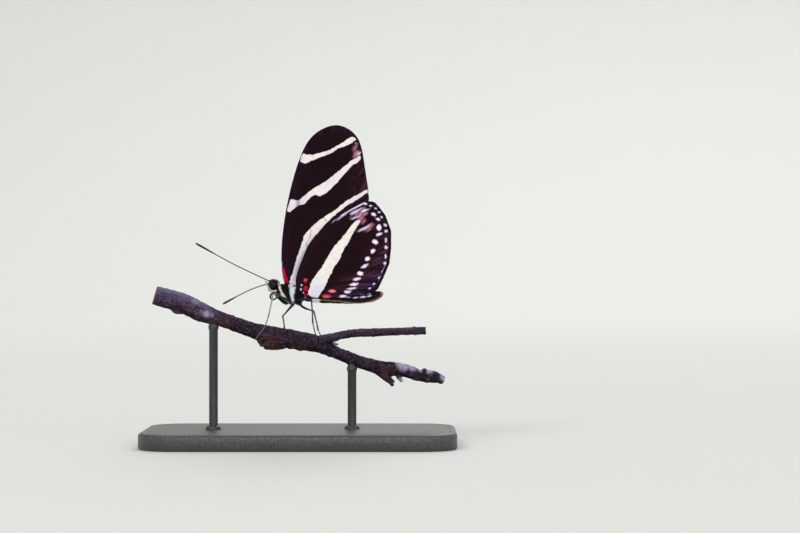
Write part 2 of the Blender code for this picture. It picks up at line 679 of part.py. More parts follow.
def build():
    clear_scene()
    scales = new_material("wing_scales", (0.022, 0.012, 0.016), 0.55)
    hair = new_material("body_hair", (0.02, 0.015, 0.018), 0.6)
    eye = new_material("eye", (0.025, 0.018, 0.03), 0.25)
    horn = new_material("feeler", (0.02, 0.018, 0.014), 0.45)
    bark = new_material("bark", (0.085, 0.05, 0.06), 0.85)
    paint = new_material("stand_paint", (0.05, 0.05, 0.052), 0.5, 0.2)

    thorax = thorax_shape()
    around_thorax = grown(thorax, GAP)
    sockets = [eye_shape("socket", side, GAP) for side in (LEFT, RIGHT)]
    head = boolean(head_shape("head"), sockets, "DIFFERENCE")
    around_head = head_shape("around_head", GAP)

    def trimmed(obj, *bodies, solver="EXACT"):
        """Cut clear of copies of the grown bodies, so that it meets them face to face."""
        cutters = []
        for body in bodies:
            cutter = body.copy()
            cutter.data = body.data.copy()
            bpy.context.scene.collection.objects.link(cutter)
            cutters.append(cutter)
        return boolean(obj, cutters, "DIFFERENCE", solver)

    made = {"thorax": (thorax, hair)}
    eyes = {"eye_left": eye_shape("eye_left", LEFT), "eye_right": eye_shape("eye_right", RIGHT)}
    around_eyes = [eye_shape("around_eye", side, GAP * 0.8) for side in (LEFT, RIGHT)]
    for name, obj in eyes.items():
        made[name] = (obj, eye)
    made["abdomen"] = (trimmed(abdomen(), around_thorax), hair)
    around_abdomen = grown(made["abdomen"][0], GAP)
    around_face = (around_head, *around_eyes)
    for name, side, tip, bend in (("antenna_left", LEFT, mm(-25.6, -5.6, 50.4), mm(0, 0, -0.35)),
                                  ("antenna_right", RIGHT, mm(-20.7, 17.4, 34.9), mm(0.4, 0, 0.7))):
        made[name] = (trimmed(antenna(name, side, tip, bend), *around_face), horn)
    for name, side in (("palp_left", LEFT), ("palp_right", RIGHT)):
        made[name] = (trimmed(palp(name, side), *around_face), hair)
    made["proboscis"] = (trimmed(proboscis(), around_head), horn)
    # The exact solver empties a thin curved sheet like a wing.
    for word, side in (("left", LEFT), ("right", RIGHT)):
        fore = trimmed(forewing("forewing_" + word, side), around_thorax, solver="MANIFOLD")
        hind = trimmed(hindwing("hindwing_" + word, side), around_thorax, around_abdomen, solver="MANIFOLD")
        made["forewing_" + word] = (fore, scales)
        made["hindwing_" + word] = (hind, scales)
    for name, obj in legs().items():
        made[name] = (trimmed(obj, around_thorax), horn)
    made["foreleg_left"] = (trimmed(foreleg("foreleg_left", LEFT), around_thorax, around_head), horn)
    made["foreleg_right"] = (trimmed(foreleg("foreleg_right", RIGHT), around_thorax, around_head), horn)
    made["head"] = (trimmed(head, around_thorax), hair)
    for helper in (around_thorax, around_head, around_abdomen, *around_eyes):
        bpy.data.objects.remove(helper)

    pose = bpy.data.objects.new("body_pose", None)
    pose.matrix_world = body_to_world()
    bpy.context.scene.collection.objects.link(pose)
    for obj, _ in made.values():
        obj.parent = pose

    perch = limb()
    side = boolean(side_twig(), [grown(perch, GAP)], "DIFFERENCE")
    made["perch_limb"] = (perch, bark)
    made["perch_side_twig"] = (side, bark)
    for name, x in ROD_PLACES.items():
        made[name] = (rod(name, x, perch), paint)
    made["stand_base"] = (stand_base(), paint)

    model = bpy.data.collections.new("zebra_longwing")
    bpy.context.scene.collection.children.link(model)
    for name, (obj, material) in made.items():
        obj.name = name
        obj.data.materials.clear()
        obj.data.materials.append(material)
        obj.data.shade_smooth()
        obj.data.set_sharp_from_angle(angle=math.radians(35))
        bpy.context.scene.collection.objects.unlink(obj)
        model.objects.link(obj)


build()
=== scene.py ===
# A zebra longwing at rest on a cut length of twig, life size, on a small display stand.
# Shapes are worked out in millimetres and set down in metres.
import math

import bpy
import numpy as np
from mathutils import Matrix, Vector, noise
from mathutils.geometry import delaunay_2d_cdt


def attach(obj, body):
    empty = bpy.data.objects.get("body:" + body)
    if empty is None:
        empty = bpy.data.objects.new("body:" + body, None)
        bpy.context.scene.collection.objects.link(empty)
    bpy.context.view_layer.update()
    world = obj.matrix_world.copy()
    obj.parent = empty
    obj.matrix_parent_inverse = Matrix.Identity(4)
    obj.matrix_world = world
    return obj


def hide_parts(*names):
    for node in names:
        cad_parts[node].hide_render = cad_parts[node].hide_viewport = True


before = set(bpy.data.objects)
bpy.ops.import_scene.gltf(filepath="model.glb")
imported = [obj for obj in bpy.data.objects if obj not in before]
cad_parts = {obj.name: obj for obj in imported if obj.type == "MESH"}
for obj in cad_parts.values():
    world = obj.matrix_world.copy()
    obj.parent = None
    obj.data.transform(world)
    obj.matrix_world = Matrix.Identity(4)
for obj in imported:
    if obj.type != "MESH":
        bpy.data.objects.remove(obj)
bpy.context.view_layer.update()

# place is the middle of the thorax. The head is turned away from the camera, and the wings lean back
pose = {"place": (-1.75, 0.0, 37.75), "turn": -10.0, "lean": -10.0}
worldMatrix = Matrix.Scale(0.001, 4)
bodyInWorld = (Matrix.Translation(pose["place"]) @ Matrix.Rotation(math.radians(pose["turn"]), 4, "Z")
               @ Matrix.Rotation(math.radians(pose["lean"]), 4, "X"))
bodyMatrix = worldMatrix @ bodyInWorld
sides = {"left": -1, "right": 1}

cameraData = bpy.data.cameras.new("camera")
cameraData.lens, cameraData.sensor_width = 100, 36
cameraData.clip_start, cameraData.clip_end = 0.01, 20
camera = bpy.data.objects.new("camera", cameraData)
camera.location = (0.025, -0.555, 0.0446)
camera.rotation_euler = (math.radians(90), 0, 0)
bpy.context.scene.collection.objects.link(camera)
bpy.context.scene.camera = camera


farOutside = -9.0  # mm of depth where there is no mark
patchFall = 0.7  # how fast a soft patch fades from its middle


def curveBetween(a, b, c, d, t):  # a smooth curve from b to c, whose neighbours are a and d
    bend = 2 * a - 5 * b + 4 * c - d
    twist = 3 * b - a - 3 * c + d
    return 0.5 * (2 * b + (c - a) * t + bend * t ** 2 + twist * t ** 3)


def smoothLine(points, count):
    points = np.asarray(points, float)
    ends = np.vstack([2 * points[0] - points[1], points, 2 * points[-1] - points[-2]])
    place = np.linspace(0, len(points) - 1, count)
    index = np.minimum(place.astype(int), len(points) - 2)
    t = (place - index)[:, None]
    return curveBetween(*(ends[index + k] for k in range(4)), t)


def smoothLoop(points, perPoint=6):
    points = np.asarray(points, float)
    place = np.arange(len(points) * perPoint) / perPoint
    index = place.astype(int)
    t = (place - index)[:, None]
    return curveBetween(*(points[(index + k) % len(points)] for k in (-1, 0, 1, 2)), t)


def unit(vectors):
    return vectors / np.maximum(np.linalg.norm(vectors, axis=-1, keepdims=True), 1e-9)


def segmentDistance(points, starts, ends):
    best = np.full(len(points), 1e9)
    for a, b in zip(starts, ends):
        along = b - a
        share = np.clip(((points - a) @ along) / max(along @ along, 1e-12), 0, 1)
        best = np.minimum(best, np.linalg.norm(points - a - share[:, None] * along, axis=1))
    return best


def lineDistance(points, line):
    line = np.asarray(line, float)
    return segmentDistance(points, line[:-1], line[1:])


def insideLoop(points, loop):
    x, y = points[:, 0], points[:, 1]
    inside = np.zeros(len(points), bool)
    for a, b in zip(loop, np.roll(loop, -1, axis=0)):
        if a[1] != b[1]:
            inside ^= ((a[1] > y) != (b[1] > y)) & (x < a[0] + (y - a[1]) / (b[1] - a[1]) * (b[0] - a[0]))
    return inside


def loopDistance(points, loop):
    return segmentDistance(points, loop, np.roll(loop, -1, axis=0))


def loopDepth(points, loop):  # mm inside a closed line, below 0 outside it
    away = loopDistance(points, loop)
    return np.where(insideLoop(points, loop), away, -away)


def ovalReach(points, u, v, long, wide, degrees):  # squared distance from an oval's middle, 1 on its line
    turn = math.radians(degrees)
    du, dv = points[:, 0] - u, points[:, 1] - v
    along, across = du * math.cos(turn) + dv * math.sin(turn), dv * math.cos(turn) - du * math.sin(turn)
    return (along / long) ** 2 + (across / wide) ** 2


def ovalDepth(points, ovals):  # the same for (place, place, half length, half width, degrees)
    best = np.full(len(points), farOutside)
    for oval in ovals:
        best = np.maximum(best, (1 - np.sqrt(ovalReach(points, *oval))) * min(oval[2:4]))
    return best


def strokeDepth(points, strokes):  # the same for (line, half width)
    best = np.full(len(points), farOutside)
    for line, half in strokes:
        best = np.maximum(best, half - lineDistance(points, line))
    return best


def softPatches(points, patches):  # strongest of some soft ovals, from 0 to 1
    best = np.zeros(len(points))
    for *oval, strength in patches:
        best = np.maximum(best, strength * np.exp(-patchFall * ovalReach(points, *oval)))
    return best


def smoothStep(low, high, value):
    t = np.clip((value - low) / (high - low), 0, 1)
    return t * t * (3 - 2 * t)


def bandFaces(rings, around, flip=False):  # four-sided faces between neighbouring rings of points
    faces = []
    for ring in range(rings - 1):
        for k in range(around):
            a, b = ring * around + k, ring * around + (k + 1) % around
            faces.append((b, a, a + around, b + around) if flip else (a, b, b + around, a + around))
    return faces


def sweep(line, radii, around=12):  # a closed tube along a line, with a radius or (wide, deep) each point
    line, radii = np.asarray(line, float), np.asarray(radii, float)
    along = unit(np.gradient(line, axis=0))
    across = np.array((0.0, 1.0, 0.0))
    rings = []
    turns = np.linspace(0, math.tau, around, endpoint=False)
    for place, way, radius in zip(line, along, radii):
        across = unit(across - way * (across @ way))
        other = np.cross(way, across)
        wide, deep = (radius, radius) if np.ndim(radius) == 0 else radius
        rings.append(place + np.outer(np.cos(turns) * wide, across) + np.outer(np.sin(turns) * deep, other))
    verts = [*np.vstack(rings), line[0], line[-1]]
    faces = bandFaces(len(line), around)
    last, first = len(verts) - 1, len(verts) - 2
    top = (len(line) - 1) * around
    for k in range(around):
        faces.append(((k + 1) % around, k, first))
        faces.append((top + k, top + (k + 1) % around, last))
    return np.array(verts), faces


def ball(centre, radii, around=24, rings=14):
    verts = [(math.sin(lift) * math.cos(turn), math.sin(lift) * math.sin(turn), math.cos(lift))
             for lift in (math.pi * ring / rings for ring in range(1, rings))
             for turn in np.linspace(0, math.tau, around, endpoint=False)]
    verts += [(0, 0, 1), (0, 0, -1)]
    faces = bandFaces(rings - 1, around, flip=True)
    end = (rings - 2) * around
    for k in range(around):
        faces.append((k, (k + 1) % around, len(verts) - 2))
        faces.append((end + (k + 1) % around, end + k, len(verts) - 1))
    return np.array(verts) * radii + centre, faces


def egg(centre, size, blunt, taper, around=40, rings=30):  # a ball drawn out along x, blunter and tapered
    verts, faces = ball((0, 0, 0), (1, 1, 1), around, rings)
    verts = verts[:, [2, 0, 1]]
    along = np.clip(verts[:, 0], -1, 1)
    ring = np.hypot(verts[:, 1], verts[:, 2])
    scale = (1 - np.abs(along) ** blunt) ** (1 / blunt) / np.maximum(ring, 1e-6) * (1 - taper * along)
    scale[ring < 1e-6] = 0
    verts[:, 1] *= scale
    verts[:, 2] *= scale
    return verts * np.array(size) / 2 + centre, faces


def joined(parts):
    verts, faces = [], []
    for some, theirs in parts:
        base = sum(len(v) for v in verts)
        verts.append(np.asarray(some))
        faces += [tuple(i + base for i in face) for face in theirs]
    return np.vstack(verts), faces


def asPiece(name, verts, faces, material, matrix=bodyMatrix, smooth=True):
    mesh = bpy.data.meshes.new(name)
    mesh.from_pydata(np.asarray(verts).tolist(), [], faces)
    mesh.transform(matrix)
    if smooth:
        mesh.shade_smooth()
    piece = bpy.data.objects.new(name, mesh)
    bpy.context.scene.collection.objects.link(piece)
    mesh.materials.append(material)
    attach(piece, "root")
    return piece


def paint(piece, **marks):  # one value or place for each point, which the finishes read by name
    for name, values in marks.items():
        values = np.asarray(values, np.float32)
        kind, label = ("FLOAT", "value") if values.ndim == 1 else ("FLOAT_VECTOR", "vector")
        piece.data.attributes.new(name, kind, "POINT").data.foreach_set(label, values.ravel())


def bakeMap(piece, perVert=None, perLoop=None):
    layer = piece.data.uv_layers.new(name="OFBake")
    if perLoop is None:
        loops = np.empty(len(piece.data.loops), np.int32)
        piece.data.loops.foreach_get("vertex_index", loops)
        perLoop = perVert[loops]
    layer.uv.foreach_set("vector", np.asarray(perLoop, np.float32).ravel())


def fused(parts, voxel, passes):  # one closed skin over parts that cross, in mm
    verts, faces = joined(parts)
    mesh = bpy.data.meshes.new("raw")
    mesh.from_pydata(verts.tolist(), [], faces)
    raw = bpy.data.objects.new("raw", mesh)
    bpy.context.scene.collection.objects.link(raw)
    remesh = raw.modifiers.new("skin", "REMESH")
    remesh.mode, remesh.voxel_size = "VOXEL", voxel
    soften = raw.modifiers.new("soften", "SMOOTH")
    soften.factor, soften.iterations = 0.5, passes
    bpy.context.view_layer.update()
    done = bpy.data.meshes.new_from_object(raw.evaluated_get(bpy.context.evaluated_depsgraph_get()))
    points = np.empty(len(done.vertices) * 3, np.float32)
    done.vertices.foreach_get("co", points)
    found = points.reshape(-1, 3).astype(float), [tuple(face.vertices) for face in done.polygons]
    bpy.data.objects.remove(raw)
    bpy.data.meshes.remove(mesh)
    bpy.data.meshes.remove(done)
    return found


class Wiring:  # one node tree, with a short word for each kind of node in it
    def __init__(self, tree):
        self.tree = tree

    def set(self, socket, value):
        if isinstance(value, tuple):
            socket.default_value = (*value, 1.0) if len(socket.default_value) > len(value) else value
        elif isinstance(value, (int, float)):
            socket.default_value = value
        else:
            self.tree.links.new(value, socket)

    def node(self, kind, values, **settings):
        node = self.tree.nodes.new("ShaderNode" + kind)
        for label, setting in settings.items():
            setattr(node, label, setting)
        for label, value in values.items():
            self.set(node.inputs[label], value)
        return node.outputs

    def plus(self, first, second):
        return self.node("Math", {0: first, 1: second}, operation="ADD")[0]

    def minus(self, first, second):
        return self.node("Math", {0: first, 1: second}, operation="SUBTRACT")[0]

    def times(self, first, second):
        return self.node("Math", {0: first, 1: second}, operation="MULTIPLY")[0]

    def sine(self, value):
        return self.node("Math", {0: value}, operation="SINE")[0]

    def noise(self, vector, scale, detail=3.0, rough=0.55):
        values = {"Vector": vector, "Scale": scale, "Detail": detail, "Roughness": rough}
        return self.node("TexNoise", values)["Fac"]

    def stretched(self, vector, amounts):
        return self.node("VectorMath", {0: vector, 1: amounts}, operation="MULTIPLY")[0]

    def cells(self, vector, scale, randomness):
        return self.node("TexVoronoi", {"Vector": vector, "Scale": scale, "Randomness": randomness})

    def ramp(self, value, fromLow, fromHigh, toLow=0.0, toHigh=1.0):
        ends = {"From Min": fromLow, "From Max": fromHigh, "To Min": toLow, "To Max": toHigh}
        return self.node("MapRange", {"Value": value, **ends}, interpolation_type="SMOOTHSTEP")[0]

    def blend(self, mask, under, over):
        return self.node("Mix", {0: mask, 6: under, 7: over}, data_type="RGBA")[2]

    def layers(self, colour, *layers):  # each a mask and the colour that it lays over the ones before
        for mask, over in layers:
            colour = self.blend(mask, colour, over)
        return colour


def newGroup(name, inputs, outputs):
    tree = bpy.data.node_groups.new(name, "ShaderNodeTree")
    for label, kind, value in inputs:
        socket = tree.interface.new_socket(label, in_out="INPUT", socket_type="NodeSocket" + kind)
        if value is not None:
            socket.default_value = value
    for label in outputs:
        tree.interface.new_socket(label, in_out="OUTPUT", socket_type="NodeSocketFloat")
    return Wiring(tree), tree.nodes.new("NodeGroupInput").outputs, tree.nodes.new("NodeGroupOutput").inputs


def makeMarkEdge():  # a mask from a depth in mm, its edge broken up scale by scale
    group, given, out = newGroup("markEdge", [
        ("Depth", "Float", 0.0), ("Place", "Vector", None), ("Soft", "Float", 0.05),
        ("Ragged", "Float", 0.12), ("Grain", "Float", 6.0)], ["Mask"])
    wander = group.minus(group.noise(given["Place"], given["Grain"], 2.0), 0.5)
    depth = group.plus(given["Depth"], group.times(wander, given["Ragged"]))
    group.set(out["Mask"], group.ramp(depth, group.times(given["Soft"], -1.0), given["Soft"]))
    return group.tree


def makeScaleRows():  # overlapping wing scales: rows of small shingles
    sockets = [("Place", "Vector", None), ("Rows", "Float", 7.0)]
    group, given, out = newGroup("scaleRows", sockets, ["Tone", "Height"])
    cells = group.cells(group.stretched(given["Place"], (0.62, 1.25, 1.0)), given["Rows"], 0.75)
    group.set(out["Tone"], group.node("SeparateColor", {0: cells["Color"]})[0])
    wave = group.noise(group.stretched(given["Place"], (0.5, 3.0, 1.0)), 5.0, 2.0)
    group.set(out["Height"], group.plus(group.minus(1.0, cells["Distance"]), group.times(wave, 0.5)))
    return group.tree


def makeGrain():  # long fibres and specks along a piece, for bark, horn and hair
    sockets = [("Place", "Vector", None), ("Fibres", "Float", 2.0), ("Specks", "Float", 4.0)]
    group, given, out = newGroup("fibreGrain", sockets, ["Streak", "Speck", "Height"])
    streak = group.noise(group.stretched(given["Place"], (0.22, 1.6, 1.6)), given["Fibres"], 5.0, 0.62)
    speck = group.noise(given["Place"], given["Specks"], 4.0, 0.6)
    group.set(out["Streak"], streak)
    group.set(out["Speck"], speck)
    group.set(out["Height"], group.plus(group.times(streak, 0.7), group.times(speck, 0.5)))
    return group.tree


markEdge, scaleRows, fibreGrain = makeMarkEdge(), makeScaleRows(), makeGrain()


class Finish(Wiring):  # a material, its shader and the painted values that it reads
    def __init__(self, name, **constants):
        self.material = bpy.data.materials.new(name)
        self.material.use_nodes = True
        super().__init__(self.material.node_tree)
        self.shader = self.tree.nodes["Principled BSDF"].inputs
        self.feed(**constants)

    def feed(self, **values):
        for label, value in values.items():
            self.set(self.shader[label.replace("_", " ")], value)

    def mark(self, name):
        return self.node("Attribute", {}, attribute_name=name)["Fac"]

    def place(self, name):
        return self.node("Attribute", {}, attribute_name=name)["Vector"]

    def group(self, group, **values):
        return self.node("Group", values, node_tree=group)

    def grain(self, place, fibres, specks):
        return self.group(fibreGrain, Place=self.place(place), Fibres=fibres, Specks=specks)

    def edge(self, name, place, soft, ragged, grain):
        depth, spot = self.mark(name), self.place(place)
        return self.group(markEdge, Depth=depth, Place=spot, Soft=soft, Ragged=ragged, Grain=grain)["Mask"]

    def bump(self, height, strength, distance):
        bumped = self.node("Bump", {"Height": height, "Strength": strength, "Distance": distance})[0]
        self.set(self.shader["Normal"], bumped)


def srgb(red, green, blue):
    parts = (c / 255 for c in (red, green, blue))
    return tuple(c / 12.92 if c <= 0.04 else ((c + 0.055) / 1.055) ** 2.4 for c in parts)


forewing = {
    "length": 42.6, "hinge": (-0.76, 1.78), "angle": 74.4, "edgePoints": 330, "margin": None,
    "outline": [
        (-0.010, -0.020), (0.061, -0.065), (0.195, -0.114), (0.358, -0.150), (0.550, -0.173),
        (0.748, -0.176), (0.880, -0.150), (0.965, -0.083), (1.000, 0.000), (0.975, 0.098),
        (0.898, 0.163), (0.790, 0.214), (0.663, 0.278), (0.584, 0.290), (0.430, 0.225),
        (0.250, 0.135), (0.080, 0.055), (-0.010, 0.025)],
    "veins": [
        [(0.090, -0.057), (0.200, -0.098), (0.400, -0.142), (0.600, -0.174)],
        [(0.075, -0.030), (0.200, -0.072), (0.380, -0.105), (0.490, -0.110), (0.750, -0.094),
         (0.992, -0.035)],
        [(0.380, -0.105), (0.520, -0.137), (0.690, -0.175)],
        [(0.490, -0.110), (0.640, -0.134), (0.780, -0.168)],
        [(0.640, -0.104), (0.770, -0.128), (0.880, -0.146)],
        [(0.760, -0.093), (0.860, -0.102), (0.950, -0.100)],
        [(0.485, -0.078), (0.700, -0.046), (0.998, 0.025)],
        [(0.478, -0.042), (0.700, 0.018), (0.966, 0.112)],
        [(0.460, 0.005), (0.660, 0.086), (0.882, 0.176)],
        [(0.400, 0.036), (0.580, 0.127), (0.775, 0.230)],
        [(0.280, 0.034), (0.460, 0.150), (0.650, 0.292)],
        [(0.080, 0.028), (0.200, 0.078), (0.380, 0.168), (0.560, 0.290)],
        [(0.075, -0.002), (0.180, 0.012), (0.280, 0.034), (0.400, 0.036), (0.460, 0.005)],
        [(0.460, 0.005), (0.478, -0.042), (0.485, -0.078), (0.490, -0.110)]],
    # marks in mm from the hinge: along the wing, then towards its hind edge
    "cream": [
        [(31.8, -7.3), (32.5, -7.2), (33.3, -6.9), (33.3, -6.0), (33.5, -4.9), (34.1, -3.6), (35.0, -2.1),
         (36.0, -0.7), (37.2, 0.6), (38.5, 1.9), (39.9, 3.0), (40.6, 3.9), (40.4, 4.9), (39.7, 4.7),
         (38.7, 3.8), (37.7, 2.6), (36.9, 1.4), (35.6, 0.3), (34.5, -1.1), (33.5, -2.5), (32.5, -3.9),
         (31.8, -4.7), (31.0, -5.5), (31.1, -6.4), (31.2, -7.0)],
        [(18.1, -6.5), (19.7, -6.6), (21.1, -6.5), (21.4, -5.5), (21.4, -4.6), (22.3, -3.9), (23.6, -3.0),
         (24.9, -2.1), (26.1, -1.0), (27.3, 0.1), (28.6, 1.3), (30.2, 2.4), (31.9, 3.6), (33.6, 4.7),
         (35.1, 5.8), (35.8, 6.6), (36.6, 7.3), (35.9, 7.6), (35.0, 7.4), (33.8, 6.2), (32.2, 5.4),
         (30.6, 4.6), (28.7, 3.8), (27.1, 2.9), (25.7, 2.1), (24.6, 1.2), (23.9, 0.3), (24.0, -0.7),
         (23.5, -1.4), (22.4, -2.1), (21.2, -2.7), (20.6, -3.5), (20.1, -4.3), (19.0, -5.0),
         (18.1, -5.8)],
        [(0.7, 0.0), (2.0, -0.2), (3.6, -0.2), (5.6, -0.3), (7.6, -0.4), (9.5, -0.3), (11.4, -0.3),
         (13.5, -0.3), (15.0, 0.4), (16.6, 1.2), (18.0, 2.2), (19.4, 3.3), (20.7, 4.5), (22.2, 5.8),
         (24.0, 6.9), (25.4, 8.2), (26.7, 9.5), (28.0, 10.8), (28.9, 11.7), (28.3, 11.9), (27.2, 11.2),
         (26.1, 10.3), (24.9, 9.2), (23.5, 7.9), (21.9, 6.7), (20.7, 5.85), (19.7, 5.2), (18.4, 4.45),
         (16.8, 3.65), (15.1, 2.95), (13.9, 2.25), (12.4, 1.85), (11.1, 1.35), (10.0, 1.2), (8.5, 1.35),
         (6.8, 1.55), (5.1, 1.65), (3.5, 1.65), (2.0, 1.6), (0.6, 1.4)]],
    "spots": [(39.3, 5.2, 0.25, 0.2, 30)],
    "rimDots": [],
    "rimStreaks": [([(5.2, -3.75), (3.9, -3.3), (2.3, -2.5), (0.7, -1.4)], 0.1)],
    "lines": [([(15.3, 0.8), (14.0, 1.15), (12.5, 1.0), (10.7, 0.85)], 0.1),
              ([(9.4, 0.8), (6.6, 0.7), (4.3, 0.6), (1.4, 0.5)], 0.075),
              ([(33.6, -4.7), (32.2, -4.2)], 0.08), ([(18.3, 3.9), (19.0, 3.1)], 0.1)],
    "red": [([(3.8, -3.0), (2.1, -1.8)], 0.34), ([(2.1, -1.8), (0.6, -0.8)], 0.46)],
    "redSpots": [],
    # soft tints as (along, across, reach along, reach across, degrees, strength)
    "cool": [(32.0, -7.1, 0.7, 0.6, 0, 1.0), (4.5, 0.6, 6.0, 1.2, 0, 0.95), (19.4, -6.2, 1.4, 1.1, 0, 0.7),
             (35.6, -0.7, 1.4, 1.4, 0, 0.55),
             (21.9, -3.2, 1.6, 1.2, 30, 0.6), (26.6, 9.6, 2.6, 0.9, 40, 0.7), (29.5, 2.6, 3.0, 1.2, 30, 0.5)],
    # dusk: painted shade, a bluish grey darkening of the cream in the gap of the middle stripe and along the
    # inner stripe near the body
    "paintedShade": [(20.8, -4.4, 0.45, 1.1, 80, 0.8), (36.2, 7.0, 0.9, 0.6, 40, 0.25),
             (4.5, 0.8, 4.5, 0.45, 0, 0.4)],
    "rosy": [(36.9, 6.3, 1.0, 0.7, 20, 0.8), (36.1, 6.0, 0.9, 0.6, 40, 0.55), (38.2, 5.5, 1.5, 0.7, 15, 0.6)],
    "lilac": [(37.0, 6.9, 0.6, 0.32, 30, 0.85), (37.3, 6.2, 0.4, 0.25, 30, 0.45)],
    "blush": [],
    "backDots": [],
}
hindwing = {
    "length": 28.4, "hinge": (2.54, 0.76), "angle": 49.0, "edgePoints": 300, "margin": (8, 15),
    "outline": [
        (-0.020, -0.040), (0.050, -0.108), (0.190, -0.176), (0.340, -0.228), (0.480, -0.233),
        (0.650, -0.208), (0.820, -0.155), (0.950, -0.100), (1.000, -0.030), (0.979, 0.083),
        (0.910, 0.215), (0.800, 0.318), (0.687, 0.401), (0.553, 0.450), (0.460, 0.476),
        (0.395, 0.470), (0.268, 0.386), (0.152, 0.290), (0.052, 0.174), (-0.025, 0.065)],
    "veins": [
        [(0.090, -0.072), (0.250, -0.165), (0.500, -0.205), (0.780, -0.168), (0.965, -0.095)],
        [(0.200, -0.072), (0.450, -0.125), (0.750, -0.092), (0.995, -0.015)],
        [(0.380, -0.060), (0.650, -0.020), (0.975, 0.093)],
        [(0.400, -0.010), (0.650, 0.062), (0.925, 0.195)],
        [(0.400, 0.050), (0.600, 0.135), (0.840, 0.283)],
        [(0.360, 0.080), (0.550, 0.202), (0.735, 0.367)],
        [(0.250, 0.078), (0.420, 0.222), (0.625, 0.425)],
        [(0.080, 0.055), (0.220, 0.175), (0.370, 0.320), (0.505, 0.463)],
        [(0.060, 0.092), (0.170, 0.225), (0.290, 0.345), (0.400, 0.455)],
        [(0.090, -0.025), (0.200, -0.072), (0.380, -0.060)],
        [(0.090, 0.015), (0.250, 0.078), (0.360, 0.080), (0.400, 0.050)],
        [(0.380, -0.060), (0.400, -0.010), (0.400, 0.050)]],
    "cream": [
        [(22.5, -0.7), (22.2, -1.3), (21.4, -1.5), (20.4, -1.5), (19.0, -1.4), (17.6, -1.3), (15.6, -1.2),
         (13.5, -1.2), (11.7, -0.9), (10.0, -0.5), (8.2, -0.1), (6.3, 0.2), (4.4, 0.4), (2.7, 0.8),
         (1.8, 1.4), (0.4, 2.1), (0.3, 2.7), (0.5, 3.6), (1.1, 4.6), (2.0, 4.5), (3.2, 4.3), (4.8, 4.0),
         (6.5, 3.3), (8.0, 2.9), (9.7, 2.3), (11.2, 2.2), (12.6, 1.8), (14.2, 1.2), (15.7, 1.0),
         (17.0, 0.7), (18.3, 0.3), (19.6, 0.0), (21.0, -0.2)]],
    # rows of spots as (along, across, half length, half width, degrees)
    "spots": [
        (25.2, -1.6, 1.0, 0.36, 28), (26.0, 0.8, 0.72, 0.45, 67), (25.8, 2.5, 0.72, 0.38, 65),
        (24.4, 4.1, 0.68, 0.82, 48), (23.2, 5.3, 0.92, 0.38, 28), (21.1, 5.9, 0.58, 0.86, -12),
        (19.0, 7.0, 0.72, 0.52, 8), (16.7, 7.3, 0.66, 0.6, 28), (14.9, 8.0, 1.0, 0.42, 21),
        (12.8, 8.4, 0.88, 0.57, 45), (11.2, 8.75, 1.14, 0.4, 36), (9.8, 9.15, 1.1, 0.45, 43),
        (8.6, 9.4, 1.32, 0.3, 43), (7.3, 9.3, 1.05, 0.4, 46), (5.7, 9.2, 1.02, 0.41, 45)],
    "rimDots": [
        (26.6, -2.5, 0.42, 0.24, 40), (27.1, -1.2, 0.38, 0.22, 50), (27.4, 0.2, 0.3, 0.2, 67),
        (27.3, 1.5, 0.34, 0.24, 51), (26.8, 2.8, 0.36, 0.26, 82), (25.9, 4.9, 0.46, 0.34, 78),
        (24.9, 6.1, 0.4, 0.37, 48), (23.2, 7.6, 0.27, 0.58, 51), (21.9, 8.9, 0.4, 0.44, 51),
        (20.2, 10.3, 0.24, 0.62, 48), (18.8, 11.4, 0.42, 0.38, 51), (16.8, 12.4, 0.25, 0.36, 48),
        (15.2, 12.8, 0.4, 0.25, 28), (13.1, 12.8, 0.32, 0.25, 30), (11.6, 12.8, 0.34, 0.2, 28),
        (0.9, -0.6, 0.24, 0.2, 48), (0.0, 0.0, 0.24, 0.27, 50), (-0.2, 1.0, 0.2, 0.24, 53)],
    "lines": [],
    "red": [],
    "redSpots": [(2.4, -0.7, 0.5, 0.6, 45), (1.0, 0.8, 0.6, 0.68, 51), (-0.45, 2.05, 0.62, 0.55, 51),
                 (4.9, 6.2, 0.95, 0.46, 51), (3.0, 6.0, 1.1, 0.52, 48)],
    "blush": [(4.9, 6.2, 0.75, 0.3, 51, 1.0), (2.9, 6.1, 0.8, 0.25, 48, 0.5),
              (2.5, -0.9, 0.3, 0.25, 48, 0.4)],
    "cool": [(1.8, 3.5, 3.6, 2.0, 30, 0.9), (22.0, -1.0, 0.8, 0.6, 0, 0.6)],
    "paintedShade": [],
    "rosy": [(23.6, -1.9, 1.7, 0.55, 28, 1.0), (23.0, -0.5, 0.85, 1.0, 50, 0.95),
             (24.4, -1.1, 1.0, 0.5, 40, 0.85), (23.2, 2.1, 1.3, 0.5, 24, 0.95),
             (22.4, 2.7, 1.6, 0.45, 24, 0.5), (21.9, -2.9, 0.9, 0.4, 28, 0.5)],
    "lilac": [(23.2, -3.2, 1.35, 0.42, 24, 0.95), (22.1, -2.3, 1.2, 0.33, 28, 0.9),
              (21.6, 1.35, 1.5, 0.38, 24, 0.95),
              (23.0, 1.9, 1.0, 0.26, 24, 0.6), (25.6, -1.3, 1.2, 0.3, 28, 0.5),
              (20.5, -4.9, 3.4, 0.34, 16, 0.7), (24.6, -2.7, 1.6, 0.35, 28, 0.6)],
    "rimStreaks": [([(26.6, -3.0), (25.2, -3.55), (23.4, -4.25)], 0.26),
                   ([(23.4, -4.25), (21.8, -4.85), (20.5, -5.25)], 0.2)],
    "backDots": [(16.9, 12.6, 0.45, 0.2, -40), (15.2, 13.1, 0.5, 0.2, -10)],
}
